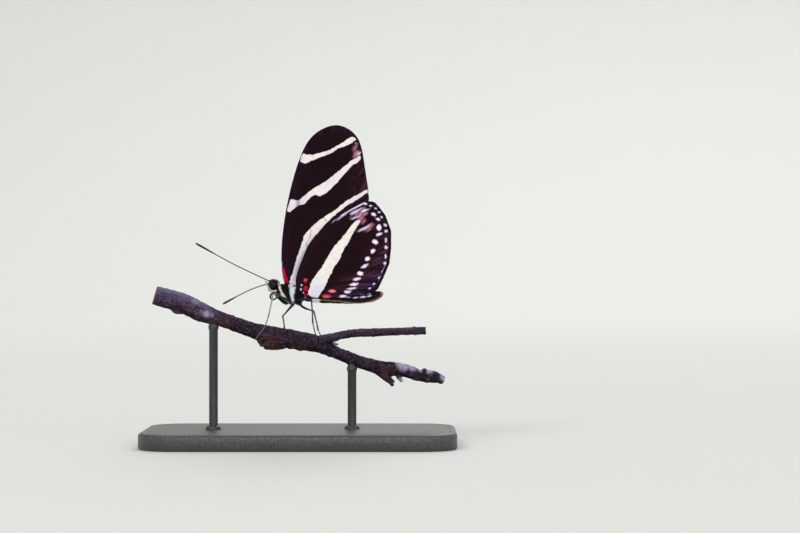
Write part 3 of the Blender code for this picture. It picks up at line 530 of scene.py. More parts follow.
wingBuild = {"spacing": 0.27, "halfThick": 0.1, "veinRise": 0.055, "veinHalf": 0.22, "pucker": 0.1,
             "fringe": 0.1, "fringeStep": 0.13, "bladeHalf": 0.055, "bareRoot": 4.0, "fan": 26.0,
             "waves": 7, "waveDepth": 0.009, "seed": 7, "mapSize": 48.0, "mapPlace": (3.0, 11.0)}


def wingGap(x, z):  # mm of a forewing's middle from the body's middle plane
    fromRoot = np.hypot(x - 0.5, z - 1.2) / 7.0
    return 0.55 + 0.6 * np.exp(-fromRoot ** 2) + 0.35 * (np.maximum(z, 0) / 42.6) ** 2


def hindwingGap(x, z):
    fromHinge = np.hypot(x - 2.3, z + 0.8) / 1.4
    return wingGap(x, z) + 1.06 + 0.42 * np.exp(-((z + 0.5) / 2.2) ** 2) - 1.2 * np.exp(-fromHinge ** 2)


def wingEdge(spec):
    count, shares = spec["edgePoints"], spec["outline"]
    line = smoothLine(shares, count)
    if spec["margin"]:
        first, last = spec["margin"]
        place = np.linspace(0, len(shares) - 1, count)
        share = (place - first) / (last - first)
        wave = wingBuild["waveDepth"] * (0.5 - 0.5 * np.cos(share * wingBuild["waves"] * math.tau))
        depth = np.where((share > 0) & (share < 1), wave, 0)
        line = line + unit(np.array((0.55, 0.1)) - line) * depth[:, None]
    return line * spec["length"]


def wingPoints(spec):  # flat points and triangles, closer along the veins
    step, half = wingBuild["spacing"], wingBuild["veinHalf"]
    edge = wingEdge(spec)
    veins, chosen = [], []
    for shares in spec["veins"]:
        course = np.array(shares) * spec["length"]
        reach = np.linalg.norm(np.diff(course, axis=0), axis=1).sum()
        line = smoothLine(course, max(4, int(reach / 0.3)))
        along = unit(np.gradient(line, axis=0))
        aside = np.stack([-along[:, 1], along[:, 0]], 1) * half
        veins.append(line)
        chosen += [line, line + aside, line - aside]
    lines = np.vstack(chosen)
    lines = lines[insideLoop(lines, edge) & (loopDistance(lines, edge) > 0.12)]
    low, high = edge.min(0), edge.max(0)
    rowStep = step * 0.87
    grid = np.array([(low[0] + (i + 0.5 * (j % 2)) * step, low[1] + j * rowStep)
                     for i in range(int((high[0] - low[0]) / step) + 1)
                     for j in range(int((high[1] - low[1]) / step / 0.87) + 1)])
    grid = grid[insideLoop(grid, edge)]
    nearVein = np.min([lineDistance(grid, line) for line in veins], axis=0)
    grid = grid[(nearVein > half * 1.6) & (loopDistance(grid, edge) > 0.14)]
    ring = [(i, (i + 1) % len(edge)) for i in range(len(edge))]
    everyPoint = [Vector(p) for p in np.vstack([edge, lines, grid])]
    verts, _, faces, *_ = delaunay_2d_cdt(everyPoint, ring, [list(range(len(edge)))], 1, 0.01, False)
    return edge, np.array([tuple(v) for v in verts]), [tuple(face) for face in faces]


def wingMarks(spec, points, outer):  # depths in mm inside each mark, and soft tints
    veins = [smoothLine(np.array(shares) * spec["length"], 24) for shares in spec["veins"]]
    marks = {"veinAway": np.min([lineDistance(points, vein) for vein in veins], axis=0),
             "cream": np.max([loopDepth(points, smoothLoop(loop)) for loop in spec["cream"]], axis=0),
             "spots": ovalDepth(points, spec["spots"]) - 0.03, "lines": strokeDepth(points, spec["lines"])}
    for tint in ("cool", "paintedShade", "rosy", "lilac", "blush"):
        marks[tint] = softPatches(points, spec[tint])
    if outer:
        for mark, ovals, strokes in (("rimDots", "rimDots", "rimStreaks"), ("red", "redSpots", "red")):
            marks[mark] = np.maximum(ovalDepth(points, spec[ovals]), strokeDepth(points, spec[strokes]))
    else:
        marks["rimDots"] = ovalDepth(points, spec["backDots"])
        marks["red"] = np.full(len(points), farOutside)
        marks["rosy"] = marks["lilac"] = np.zeros(len(points))
    return marks


def fringeBlades(edge, side):  # scales that stand out along the rim, as roots and four flat corners each
    rng = np.random.default_rng(wingBuild["seed"] + (side > 0))
    closed = np.vstack([edge, edge[:1]])
    reach = np.concatenate([[0], np.cumsum(np.linalg.norm(np.diff(closed, axis=0), axis=1))])
    places = np.arange(0, reach[-1], wingBuild["fringeStep"])
    roots = np.stack([np.interp(places, reach, closed[:, k]) for k in (0, 1)], 1)
    ahead = unit(np.stack([np.interp(places + 0.05, reach, closed[:, k]) for k in (0, 1)], 1) - roots)
    outward = np.stack([ahead[:, 1], -ahead[:, 0]], 1)
    if insideLoop(roots + outward * 0.2, edge).mean() > 0.5:
        outward = -outward
    keep = np.hypot(roots[:, 0], roots[:, 1]) > wingBuild["bareRoot"]
    roots, ahead, outward = roots[keep], ahead[keep], outward[keep]
    long = wingBuild["fringe"] * rng.uniform(0.6, 1.15, len(roots)) * np.where(roots[:, 1] > -1.0, 1.0, 0.5)
    lift = rng.uniform(-0.5, 0.5, len(roots)) * wingBuild["halfThick"]
    tips = roots + (outward + ahead * rng.normal(0, 0.22, len(roots))[:, None]) * long[:, None]
    base, half = roots - outward * 0.08, ahead * wingBuild["bladeHalf"]
    flat = np.stack([base - half, base + half, roots - outward * 0.05, tips], 1).reshape(-1, 2)
    rise = (lift[:, None] + (0.0, 0.0, 0.06, 0.01)).ravel()
    return np.repeat(roots, 4, axis=0), flat, rise


def makeWing(name, side, spec, gap, material):
    edge, flat, faces = wingPoints(spec)
    count = len(flat)
    turn = math.radians(spec["angle"])

    def raised(points, offset):
        x = spec["hinge"][0] + points[:, 0] * math.cos(turn) + points[:, 1] * math.sin(turn)
        z = spec["hinge"][1] + points[:, 0] * math.sin(turn) - points[:, 1] * math.cos(turn)
        return np.stack([x, side * (gap(x, z) + offset), z], 1)

    bladeRoots, bladeFlat, bladeRise = fringeBlades(edge, side)
    blades = len(bladeFlat)
    sheets = [wingMarks(spec, *which) for which in ((flat, True), (flat, False), (bladeRoots, True))]
    rim, away = loopDistance(flat, edge), sheets[0]["veinAway"]
    onVein = smoothStep(1.0, 0.0, away / wingBuild["veinHalf"])
    rise = wingBuild["veinRise"] * onVein * smoothStep(0, 0.5, rim)
    pucker = wingBuild["pucker"] * (smoothStep(0.1, 1.4, away) - 0.4) * smoothStep(0, 1.2, rim)
    thick = wingBuild["halfThick"] * (0.5 + 0.5 * smoothStep(0, 0.4, rim))
    outer, inner = raised(flat, pucker + thick + rise), raised(flat, pucker - thick - rise)
    a, b, c = (outer[i] for i in faces[0][:3])
    if np.cross(b - a, c - a)[1] * side < 0:  # the outer sheet faces away from the body
        faces = [face[::-1] for face in faces]
    meshFaces = faces + [tuple(i + count for i in face[::-1]) for face in faces]
    borders = {(a, b) for face in faces for a, b in zip(face, face[1:] + face[:1])}
    rimEdges = sorted((a, b) for a, b in borders if (b, a) not in borders)
    meshFaces += [(b, a, a + count, b + count) for a, b in rimEdges]
    for first in range(2 * count, 2 * count + blades, 4):
        meshFaces += [(first, first + 1, first + 3), (first + 1, first + 2, first + 3),
                      (first + 2, first, first + 3), (first, first + 2, first + 1)]
    verts = np.vstack([outer, inner, raised(bladeFlat, bladeRise)])
    piece = asPiece(name + "_scaled", verts, meshFaces, material)
    paint(piece, **{label: np.concatenate([sheet[label] for sheet in sheets]) for label in sheets[0]})
    everywhere = np.vstack([flat, flat, bladeFlat])
    upperSide = np.repeat((0.0, 1.0, 0.0), (count, count, blades))
    turned = np.arctan2(everywhere[:, 1], everywhere[:, 0] + 3.0) * wingBuild["fan"]
    apart = 9.0 * upperSide
    paint(piece, upperSide=upperSide, rim=np.concatenate([rim, rim, np.zeros(blades)]),
          hindMargin=everywhere[:, 1] / spec["length"],
          wingPlace=np.column_stack([everywhere, apart]),
          fanPlace=np.column_stack([np.hypot(*everywhere.T) * 0.14, turned, apart]))
    # the map has the outer face below and the inner face above, and strips round the rim
    shift, size = wingBuild["mapPlace"], wingBuild["mapSize"]
    outerUv, rootUv = ((points + shift) / size for points in (flat, bladeRoots))
    uv = np.vstack([outerUv, outerUv + (0.0, 0.5), rootUv + (bladeFlat - bladeRoots) * 0.006])
    perLoop = uv[np.array([i for face in meshFaces for i in face])]
    cursor = 2 * sum(len(face) for face in faces)
    outward = unit(flat - flat.mean(0)) * 0.003
    for a, b in rimEdges:
        perLoop[cursor:cursor + 4] = outerUv[b], outerUv[a], outerUv[a] + outward[a], outerUv[b] + outward[b]
        cursor += 4
    bakeMap(piece, perLoop=perLoop)
    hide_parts(name)


def wingFinish():
    look = Finish("wing scales", Roughness=0.7, Specular_IOR_Level=0.05)
    place = look.place("wingPlace")
    rows = look.group(scaleRows, Place=place, Rows=7.0)
    tone = rows["Tone"]
    rim, hindMargin, veinAway = (look.mark(name) for name in ("rim", "hindMargin", "veinAway"))
    broad = look.noise(place, 0.3, 3.0)
    streaks = look.noise(look.place("fanPlace"), 1.5, 3.0)
    sheen = look.times(look.ramp(rim, 3.0, 0.3), look.ramp(streaks, 0.4, 0.7))
    # painted sheen: near the hind margin the ground turns plum and violet between the veins, the wing's own
    # tint together with a painted sheen of light on the scales
    outer = look.times(look.ramp(hindMargin, 0.1, 0.34), look.ramp(veinAway, 0.1, 0.6))
    outer = look.times(look.times(outer, look.ramp(rim, 6.5, 4.0)), look.ramp(streaks, 0.44, 0.6, 0.12, 0.95))
    plumSheen = look.blend(look.ramp(hindMargin, 0.3, 0.44), srgb(68, 36, 50), srgb(66, 44, 84))
    ground = look.layers(look.blend(broad, srgb(14, 3, 8), srgb(30, 9, 17)),
                         (look.times(tone, 0.4), srgb(38, 17, 27)),
                         (look.times(sheen, 0.4), srgb(46, 28, 58)),
                         (outer, plumSheen))
    edges = {"cream": (0.08, 0.66, 1.4), "spots": (0.1, 0.5, 1.6), "rimDots": (0.12, 0.34, 2.2),
             "red": (0.09, 0.5, 1.8), "lines": (0.07, 0.06, 3.0)}
    masks = {label: look.edge(label, "wingPlace", *sizes) for label, sizes in edges.items()}
    stray = look.times(look.minus(streaks, 0.5), 0.9)
    rosyMask = look.ramp(look.plus(look.mark("rosy"), stray), 0.2, 0.8, 0.0, 0.9)
    lilacMask = look.ramp(look.plus(look.mark("lilac"), stray), 0.25, 0.8, 0.0, 0.9)
    pale = look.layers(look.blend(look.ramp(broad, 0.38, 0.62), srgb(240, 232, 222), srgb(238, 228, 230)),
                       (look.ramp(look.noise(place, 1.1, 4.0), 0.46, 0.66, 0.0, 0.5), srgb(222, 204, 212)),
                       (look.mark("cool"), srgb(208, 206, 230)),
                       (look.times(tone, 0.22), srgb(216, 208, 200)),
                       (look.times(look.mark("upperSide"), 0.8), srgb(236, 220, 130)),
                       (look.ramp(veinAway, 0.2, 0.05, 0.0, 0.1), srgb(120, 112, 118)),
                       (masks["lines"], srgb(112, 104, 106)),
                       # painted shade laid on the cream stripes
                       (look.mark("paintedShade"), srgb(132, 116, 156)))
    white = look.blend(look.ramp(look.mark("spots"), 0.04, 0.36), srgb(204, 180, 222), srgb(250, 240, 226))
    white = look.blend(look.times(tone, 0.3), white, srgb(250, 246, 250))
    rosy = look.blend(look.ramp(streaks, 0.35, 0.65), srgb(128, 62, 66), srgb(204, 138, 166))
    scarlet = look.layers(look.blend(tone, srgb(140, 5, 34), srgb(204, 18, 60)),
                          (look.ramp(streaks, 0.5, 0.36, 0.0, 0.6), srgb(92, 6, 50)),
                          (look.mark("blush"), srgb(244, 142, 152)))
    colour = look.layers(ground,
                         (rosyMask, rosy),
                         (lilacMask, look.blend(tone, srgb(224, 206, 238), srgb(196, 174, 218))),
                         (masks["cream"], pale),
                         (masks["spots"], white),
                         (masks["rimDots"], look.blend(tone, srgb(234, 218, 244), srgb(202, 182, 224))),
                         (masks["red"], scarlet))
    look.feed(Base_Color=colour, Roughness=look.ramp(tone, 0.0, 1.0, 0.62, 0.8))
    look.bump(rows["Height"], 0.3, 0.00004)
    return look.material


wingMaterial = wingFinish()
for word, side in sides.items():
    makeWing("forewing_" + word, side, forewing, wingGap, wingMaterial)
    makeWing("hindwing_" + word, side, hindwing, hindwingGap, wingMaterial)
print("wings done")

body = {
    "thorax": {"size": (7.7, 4.1, 5.1), "blunt": 2.5, "taper": 0.16, "depth": 0.3},
    "head": {"centre": (-4.95, 0.0, 2.25), "size": (2.9, 2.6, 3.1), "depth": 0.12},
    "abdomen": {"line": [(2.2, 0, -0.35), (5.5, 0, -0.95), (10.0, 0, -1.1), (15.0, 0, -1.2),
                         (19.5, 0, -0.87), (22.8, 0, 0.2)],
                "radius": 1.2, "thinning": 0.35, "roundFrom": 0.84, "segments": 8, "groove": 0.07},
    "voxel": 0.1, "soften": 4,
}
bodyMarkLines = {  # along the body and up, in the body's own frame
    "band": [(-0.75, 2.2), (0.75, 2.2), (0.62, 0.3), (0.42, -1.2), (0.95, -2.9), (0.1, -2.9),
             (-0.25, -1.4), (-0.6, 0.0)],
    "blob": [(5.1, -1.4), (6.2, -1.35), (7.2, -1.55), (6.9, -1.95), (6.4, -2.4), (5.2, -2.4)],
    "strokes": [([(-3.38, 1.7), (-2.93, 0.61), (-2.48, -0.29)], 0.24),
                ([(-2.48, -0.29), (-1.84, -1.19), (-1.4, -1.75)], 0.32),
                ([(-1.4, -1.75), (-0.65, -2.63)], 0.18), ([(3.15, -0.9), (3.3, -1.35), (3.3, -1.9)], 0.12),
                ([(-4.1, 3.5), (-3.8, 3.15), (-3.62, 2.65), (-3.58, 2.15)], 0.17)],
    "dashes": [(8.2, -0.75, 0.5, 0.16, 0), (10.2, -0.8, 0.55, 0.16, 0), (12.2, -0.85, 0.55, 0.16, 0),
               (14.2, -0.95, 0.55, 0.16, 0), (16.1, -1.07, 0.64, 0.19, 4), (18.0, -0.88, 0.76, 0.22, 8),
               (19.6, -0.62, 0.56, 0.19, 14), (17.45, -0.16, 0.6, 0.11, 5), (19.5, -0.04, 0.5, 0.11, 3)],
    "tan": [([(-3.62, -0.17), (-2.97, -0.53), (-2.3, -1.25)], 0.2),
            ([(7.0, -1.62), (9.3, -1.75), (11.3, -1.88), (13.2, -2.05)], 0.1),
            ([(13.2, -2.16), (15.2, -2.36), (17.1, -2.38), (19.0, -2.16), (21.0, -1.6), (22.3, -0.85)],
             0.17)],
    "tip": (22.75, 0.0, 0.42, 0.8, 0),
}


def bodyMarks(points):
    flat = points[:, [0, 2]]
    beside = smoothStep(0.25, 0.7, np.abs(points[:, 1]))
    band = loopDepth(flat, smoothLoop(bodyMarkLines["band"]))
    white = np.maximum(strokeDepth(flat, bodyMarkLines["strokes"]), ovalDepth(flat, bodyMarkLines["dashes"]))
    blob = loopDepth(flat, smoothLoop(bodyMarkLines["blob"]))
    tan = np.maximum(strokeDepth(flat, bodyMarkLines["tan"]), ovalDepth(flat, [bodyMarkLines["tip"]]))
    return {"white": np.maximum(np.where(beside > 0.3, white, -1.0), blob),
            "band": np.where(beside > 0.3, band, -1.0), "tan": tan,
            "rear": smoothStep(3.0, 4.5, points[:, 0]) * (0.25 + 0.75 * smoothStep(7.0, 8.0, points[:, 0]))}


def bodyUnwrap(points):
    middle = np.interp(points[:, 0], [-5, 0, 3, 10, 15, 23], [2.2, 0.0, -0.45, -1.1, -1.2, 0.1])
    return cylinderMap((points[:, 0] + 8) / 33, points[:, 1], points[:, 2] - middle, 0.96)


def cylinderMap(along, aside, up, share):  # share of the map's height that one turn takes, in its middle
    turn = (np.arctan2(aside, up) + math.pi) / math.tau
    return np.stack([along, turn * share + (1 - share) / 2], 1)


def bodyParts():
    chest, head, rear = body["thorax"], body["head"], body["abdomen"]
    less = chest["depth"]
    parts = [egg((0, 0, 0), np.array(chest["size"]) - 2 * less, chest["blunt"], chest["taper"])]
    centre = np.array(head["centre"])
    parts.append(egg(centre, np.array(head["size"]) - 2 * head["depth"], 2.2, 0.05, 30, 22))
    parts.append(sweep([centre + (0.5, 0, -0.3), (-3.6, 0, 1.5), (-2.6, 0, 0.9)], [0.75, 0.72, 0.95], 20))
    parts.append(ball(centre + (-0.98, 0, -0.75), (0.52, 0.42, 0.82), 20, 14))
    parts.append(ball(centre + (0.05, 0, -1.25), (0.5, 0.42, 0.58), 20, 14))
    parts.append(ball((-3.95, 0, 0.55), (0.55, 0.45, 0.5), 20, 14))  # throat
    for side in (-1, 1):
        parts.append(ball((-2.75, side * 0.75, 1.35), (0.8, 0.62, 0.85)))  # collar lobe
        parts.append(ball((-1.0, side * 1.15, 1.75), (1.25, 0.62, 0.72)))  # shoulder lobe over the wing root
        for x, z in ((-1.9, -1.5), (-0.2, -1.75), (1.4, -1.65)):
            parts.append(ball((x, side * 0.8, z), (0.62, 0.55, 0.95)))  # leg bases
    count = 200
    line = smoothLine(rear["line"], count)
    share = np.linspace(0, 1, count)
    full = (1 - (share - 0.5) ** 2 * rear["thinning"]) * np.minimum(1.0, 0.8 + share)
    end = np.sqrt(1 - 0.93 * (np.maximum(0, share - rear["roundFrom"]) / (1 - rear["roundFrom"])) ** 2)
    fold = 1 - rear["groove"] * np.exp(-((share * rear["segments"]) % 1.0 / 0.16) ** 2)
    fold += 0.02 * np.sin((share * rear["segments"]) % 1.0 * math.pi)
    radius = (rear["radius"] - 0.06) * full * end * fold
    parts.append(sweep(line, np.stack([radius * 0.94, radius * 1.03], 1), 32))
    return parts


def bodyFinish(name, tuft):
    look = Finish(name, Roughness=0.6 if tuft else 0.75, Specular_IOR_Level=0.16)
    grain = look.grain("bodyPlace", 3.0, 5.0)
    speck = grain["Speck"]
    dark = look.blend(speck, srgb(12, 7, 11), srgb(34, 24, 34))
    if tuft:
        dark = look.blend(look.mark("tone"), dark, srgb(44, 34, 50))
    bright = look.blend(speck, srgb(254, 246, 230), srgb(255, 254, 250))
    colour = look.layers(dark,
                         (look.edge("tan", "bodyPlace", 0.16, 0.4, 3.0),
                          look.blend(speck, srgb(140, 98, 72), srgb(208, 168, 138))),
                         (look.edge("band", "bodyPlace", 0.1, 0.3, 3.0),
                          look.blend(speck, srgb(226, 238, 248), srgb(250, 253, 255))),
                         (look.edge("white", "bodyPlace", 0.08, 0.2, 3.0),
                          look.blend(look.mark("rear"), bright, srgb(236, 226, 255))))
    look.feed(Base_Color=colour)
    look.bump(grain["Height"], 0.5, 0.00008)
    return look.material


def scaledFinish(name, shine, sizes, under, over, masked, rough, relief):  # fine scales in two mottled tones
    look = Finish(name, Roughness=0.65, Specular_IOR_Level=shine)
    grain = look.grain("bodyPlace", *sizes)
    tones = (look.blend(grain["Speck"], *tone) for tone in (under, over))
    look.feed(Base_Color=look.blend(masked(look), *tones))
    if rough:
        look.feed(Roughness=look.ramp(grain["Streak"], 0.3, 0.7, *rough))
    look.bump(grain["Height"], *relief)
    return look.material


skinVerts, skinFaces = fused(bodyParts(), body["voxel"], body["soften"])
bodySkin = asPiece("body_skin", skinVerts, skinFaces, bodyFinish("body skin", False))
paint(bodySkin, bodyPlace=skinVerts, **bodyMarks(skinVerts))
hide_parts("head", "thorax", "abdomen")
print("body skin", len(skinFaces), "faces")


tuftPoints = 7


def tuftMesh(roots, normals, ways, lengths, widths, lifts, rng):  # one pointed, three-sided tuft at each root
    ways = unit(ways - normals * (ways * normals).sum(1)[:, None])
    ways = unit(ways + np.cross(normals, ways) * rng.normal(0, 0.22, len(roots))[:, None])
    across = np.cross(normals, ways)
    long, lift, wide = lengths[:, None], lifts[:, None], widths[:, None]
    middle = roots + ways * long * 0.5 + normals * long * 0.5 * lift * 1.3
    tip = roots + ways * long + normals * long * lift
    low = roots - normals * 0.06
    verts = np.stack([low + across * wide, low - across * wide, low + normals * wide * 0.8,
                      middle + across * wide * 0.8, middle - across * wide * 0.8,
                      middle + normals * wide * 0.7, tip], 1).reshape(-1, 3)
    shape = [(0, 1, 4, 3), (1, 2, 5, 4), (2, 0, 3, 5), (3, 4, 6), (4, 5, 6), (5, 3, 6), (0, 2, 1)]
    faces = [tuple(tuftPoints * k + i for i in face) for k in range(len(roots)) for face in shape]
    return verts, faces


def onTufts(values):  # a root's value at all the points of its tuft
    return np.repeat(values, tuftPoints, axis=0)


def tuftMap(unwrapped):
    turns = np.array([0, 2.1, 4.2])
    ring = np.stack([np.cos(turns), np.sin(turns)], 1)
    patch = np.vstack([ring * 0.0015, ring * 0.0008, [[0, 0]]])
    return (unwrapped[:, None, :] + patch[None]).reshape(-1, 2)


def scatter(verts, faces, count, rng):
    otherHalves = [(face[0], face[2], face[3]) for face in faces if len(face) == 4]
    corners = np.array([face[:3] for face in faces] + otherHalves)
    a, b, c = (verts[corners[:, k]] for k in range(3))
    normal = np.cross(b - a, c - a)
    area = np.linalg.norm(normal, axis=1)
    chosen = rng.choice(len(corners), count, p=area / area.sum())
    u, v = rng.random(count), rng.random(count)
    flip = u + v > 1
    u[flip], v[flip] = 1 - u[flip], 1 - v[flip]
    places = a[chosen] + (b - a)[chosen] * u[:, None] + (c - a)[chosen] * v[:, None]
    return places, unit(normal[chosen])


def nearestOn(line, points):
    return np.argmin(np.linalg.norm(points[:, None] - line[None], axis=2), axis=1)


def haired(core, ways, hair, rng):  # a core with hairs scattered on it, and where their roots stand
    roots, normals = scatter(*core, hair["count"], rng)
    lengths = rng.uniform(*hair["length"], len(roots))
    lifts = rng.uniform(*hair["lift"], len(roots))
    hairs = tuftMesh(roots, normals, ways(roots), lengths, np.full(len(roots), hair["width"]), lifts, rng)
    return joined([core, hairs]), roots


def alongLine(line):
    slopes = np.gradient(line, axis=0)
    return lambda roots: slopes[nearestOn(line, roots)]


coat = {"count": 20000, "seed": 21, "headLength": 0.3, "chestLength": 0.5, "abdomenLength": 0.32,
        "width": 0.032, "clearOfEyes": (1.2, 1.1, 1.5)}
rng = np.random.default_rng(coat["seed"])
roots, normals = scatter(skinVerts, skinFaces, coat["count"], rng)
for side in (-1, 1):
    fromEye = (roots - (-4.98, side * 0.72, 2.25)) / coat["clearOfEyes"]
    clear = np.linalg.norm(fromEye, axis=1) > 1
    roots, normals = roots[clear], normals[clear]
onHead, onChest = smoothStep(-3.2, -3.9, roots[:, 0]), smoothStep(4.4, 3.4, roots[:, 0])
lengths = coat["abdomenLength"] + (coat["chestLength"] - coat["abdomenLength"]) * onChest
lengths = lengths * (1 - onHead) + coat["headLength"] * onHead
lengths *= rng.uniform(0.65, 1.2, len(roots))
lifts = 0.22 + 0.3 * onChest * (1 - onHead) + 0.25 * onHead
lifts *= rng.uniform(0.6, 1.3, len(roots))
rootMarks = bodyMarks(roots)
lifts *= 1 - 0.8 * smoothStep(-0.15, 0.1, np.maximum(rootMarks["white"], rootMarks["band"]))
ways = np.tile((1.0, 0.0, -0.12), (len(roots), 1))
ways[onHead > 0.5] = (0.75, 0.0, 0.45)
widths = coat["width"] * (1 + 0.5 * onChest) * rng.uniform(0.7, 1.3, len(roots))
coatVerts, coatFaces = tuftMesh(roots, normals, ways, lengths, widths, lifts, rng)
bodyCoat = asPiece("body_coat", coatVerts, coatFaces, bodyFinish("body hair", True))
paint(bodyCoat, tone=onTufts(rng.random(len(roots)) ** 2 * 0.8), bodyPlace=onTufts(roots),
      **{label: onTufts(values) for label, values in rootMarks.items()})
bakeMap(bodyCoat, perVert=tuftMap(bodyUnwrap(roots)))
print("body hair", len(coatFaces), "faces")


headCentre = np.array(body["head"]["centre"])
eye = {"radii": (1.1, 1.0, 1.38), "out": 0.72}


def eyeFinish():
    look = Finish("compound eye", Specular_IOR_Level=0.16)
    place = look.place("bodyPlace")
    facets = look.cells(place, 14.0, 0.15)
    bands = look.noise(look.stretched(place, (0.6, 0.6, 2.2)), 1.3, 2.0)
    look.feed(Base_Color=look.blend(look.ramp(bands, 0.35, 0.7), srgb(8, 5, 8), srgb(24, 15, 25)),
              Roughness=look.ramp(bands, 0.3, 0.7, 0.18, 0.3))
    look.bump(look.minus(1.0, facets["Distance"]), 0.12, 0.00002)
    return look.material


eyeMaterial = eyeFinish()
for word, side in sides.items():
    verts, faces = ball(headCentre + (0, side * eye["out"], 0), eye["radii"], 64, 40)
    piece = asPiece("eye_" + word + "_globe", verts, faces, eyeMaterial)
    paint(piece, bodyPlace=verts)
    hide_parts("eye_" + word)
print("eyes done")


def hornFinish(name, low, high, ringColour):
    return scaledFinish(name, 0.3, (5.0, 7.0), (low, high), (ringColour, ringColour),
                        lambda look: look.times(look.mark("ring"), 0.7), (0.35, 0.6), (0.3, 0.00003))


feelers = {
    "left": {"tip": (-25.6, -5.6, 50.4), "bend": (0, 0, -0.35)},
    "right": {"tip": (-20.7, 17.4, 34.9), "bend": (0.4, 0, 0.7)},
    "radius": 0.13, "clubRadius": 0.27, "clubShare": 0.27, "segments": 44,
}
bodyInverse = bodyInWorld.inverted()


def inBody(point):
    return np.array(bodyInverse @ Vector(tuple(point)))


feelerMaterial = hornFinish("feeler horn", srgb(17, 17, 12), srgb(44, 44, 32), srgb(92, 96, 78))
for word, side in sides.items():
    start = headCentre + (-0.75, side * 0.42, 0.75)
    tip = inBody(feelers[word]["tip"])
    middle = (start + tip) / 2 + np.array(feelers[word]["bend"])
    perSegment = 6
    count = feelers["segments"] * perSegment + 1
    line = smoothLine([start, middle, tip], count)
    share = np.linspace(0, 1, count)
    club = np.clip((share - 1 + feelers["clubShare"]) / feelers["clubShare"], 0, 1)
    swell = np.sin(np.minimum(club, 0.8) / 0.8 * math.pi / 2)
    end = np.where(club > 0.8, np.sqrt(np.maximum(0.04, 1 - ((club - 0.8) / 0.2) ** 2)), 1.0)
    inSegment = (share * feelers["segments"]) % 1.0
    node = 1 + 0.09 * np.cos(inSegment * math.tau)
    radii = (feelers["radius"] + (feelers["clubRadius"] - feelers["radius"]) * swell) * end * node
    radii[:perSegment * 2] += 0.16 * smoothStep(1.0, 0.0, np.arange(perSegment * 2) / (perSegment * 2.0))
    verts, faces = sweep(line, radii, 14)
    piece = asPiece("feeler_" + word, verts, faces, feelerMaterial)
    ring = smoothStep(0.28, 0.1, np.abs(inSegment - 0.5) * 2) * (1 - club)
    paint(piece, bodyPlace=verts, ring=np.concatenate([np.repeat(ring, 14), [0, 0]]))
    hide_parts("antenna_" + word)

palps = {"line": [(0.9, 0.5, -1.5), (-0.1, 0.48, -1.62), (-0.65, 0.46, -1.4), (-1.15, 0.46, -0.85),
                  (-1.58, 0.47, -0.15), (-1.88, 0.48, 0.45), (-2.08, 0.5, 0.85)], "radius": 0.17,
         "around": 20,
         "hair": {"count": 1100, "length": (0.144, 0.312), "lift": (0.15, 0.5), "width": 0.028}, "seed": 31}


palpMaterial = scaledFinish("palp scales", 0.18, (4.0, 6.0), (srgb(14, 10, 12), srgb(38, 31, 35)),
                            (srgb(238, 216, 190), srgb(252, 242, 226)),
                            lambda look: look.ramp(look.mark("white"), -0.1, 0.12), None, (0.4, 0.00004))
for word, side in sides.items():
    line = smoothLine([headCentre + (x, side * y, z) for x, y, z in palps["line"]], 60)
    share = np.linspace(0, 1, 60)
    taper = np.sqrt(np.maximum(0.05, 1 - share ** 4))
    radii = palps["radius"] * taper * (1 + 0.1 * np.sin(share * 3 * math.tau))
    core = sweep(line, radii, palps["around"])
    rng = np.random.default_rng(palps["seed"] + (side > 0))
    (verts, faces), roots = haired(core, alongLine(line), palps["hair"], rng)
    piece = asPiece("palp_" + word + "_haired", verts, faces, palpMaterial)
    nearCore = np.concatenate([np.repeat(np.arange(60), palps["around"]), [0, 59]])
    nearRoots = nearestOn(line, roots)
    coreOut, rootsOut = core[0] - line[nearCore], roots - line[nearRoots]
    paint(piece, bodyPlace=np.vstack([core[0], onTufts(roots)]),  # pale on the outer face
          white=np.concatenate([side * coreOut[:, 1], onTufts(side * rootsOut[:, 1])]) - 0.02)
    coreUv, rootUv = (cylinderMap(share[near] * 0.96 + 0.02, out[:, 1], out[:, 0], 0.9)
                      for near, out in ((nearCore, coreOut), (nearRoots, rootsOut)))
    bakeMap(piece, perVert=np.vstack([coreUv, tuftMap(rootUv)]))
    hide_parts("palp_" + word)

tongue = {"centre": (0.02, 0.0, -2.92), "outer": 1.12, "radius": 0.26,
          "turns": 1.1, "start": 95.0, "pitch": 0.2}
tongueMaterial = hornFinish("tongue horn", srgb(10, 8, 11), srgb(26, 20, 24), srgb(58, 52, 60))
turnsAlong = np.linspace(0, tongue["turns"], 220)
angles = math.radians(tongue["start"]) + turnsAlong * math.tau
coilRadius = tongue["outer"] - tongue["radius"] - turnsAlong * tongue["pitch"]
coil = np.stack([np.cos(angles) * coilRadius, np.zeros(220), np.sin(angles) * coilRadius], 1)
coil = headCentre + tongue["centre"] + coil
rootBends = [headCentre + (-0.1, 0, -1.1), headCentre + (0.2, 0, -1.6), coil[0] + (0.12, 0, 0.08)]
rootLine = smoothLine(rootBends, 14)
line = np.vstack([rootLine, coil[2:]])
share = np.linspace(0, 1, len(line))
parts = []
for side in (-1, 1):
    radii = tongue["radius"] * (1 - 0.5 * share) * (1 + 0.06 * np.sin(share * 150 * math.tau))
    parts.append(sweep(line + (0, side * 0.07, 0), np.stack([radii * 0.8, radii], 1), 12))
verts, faces = joined(parts)
piece = asPiece("tongue_coil", verts, faces, tongueMaterial)
rings = np.repeat(0.5 + 0.5 * np.sin(share * 75 * math.tau), 12)
paint(piece, bodyPlace=verts, ring=np.tile(np.concatenate([rings, [0, 0]]), 2))
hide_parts("proboscis")
print("feelers, palps and tongue done")

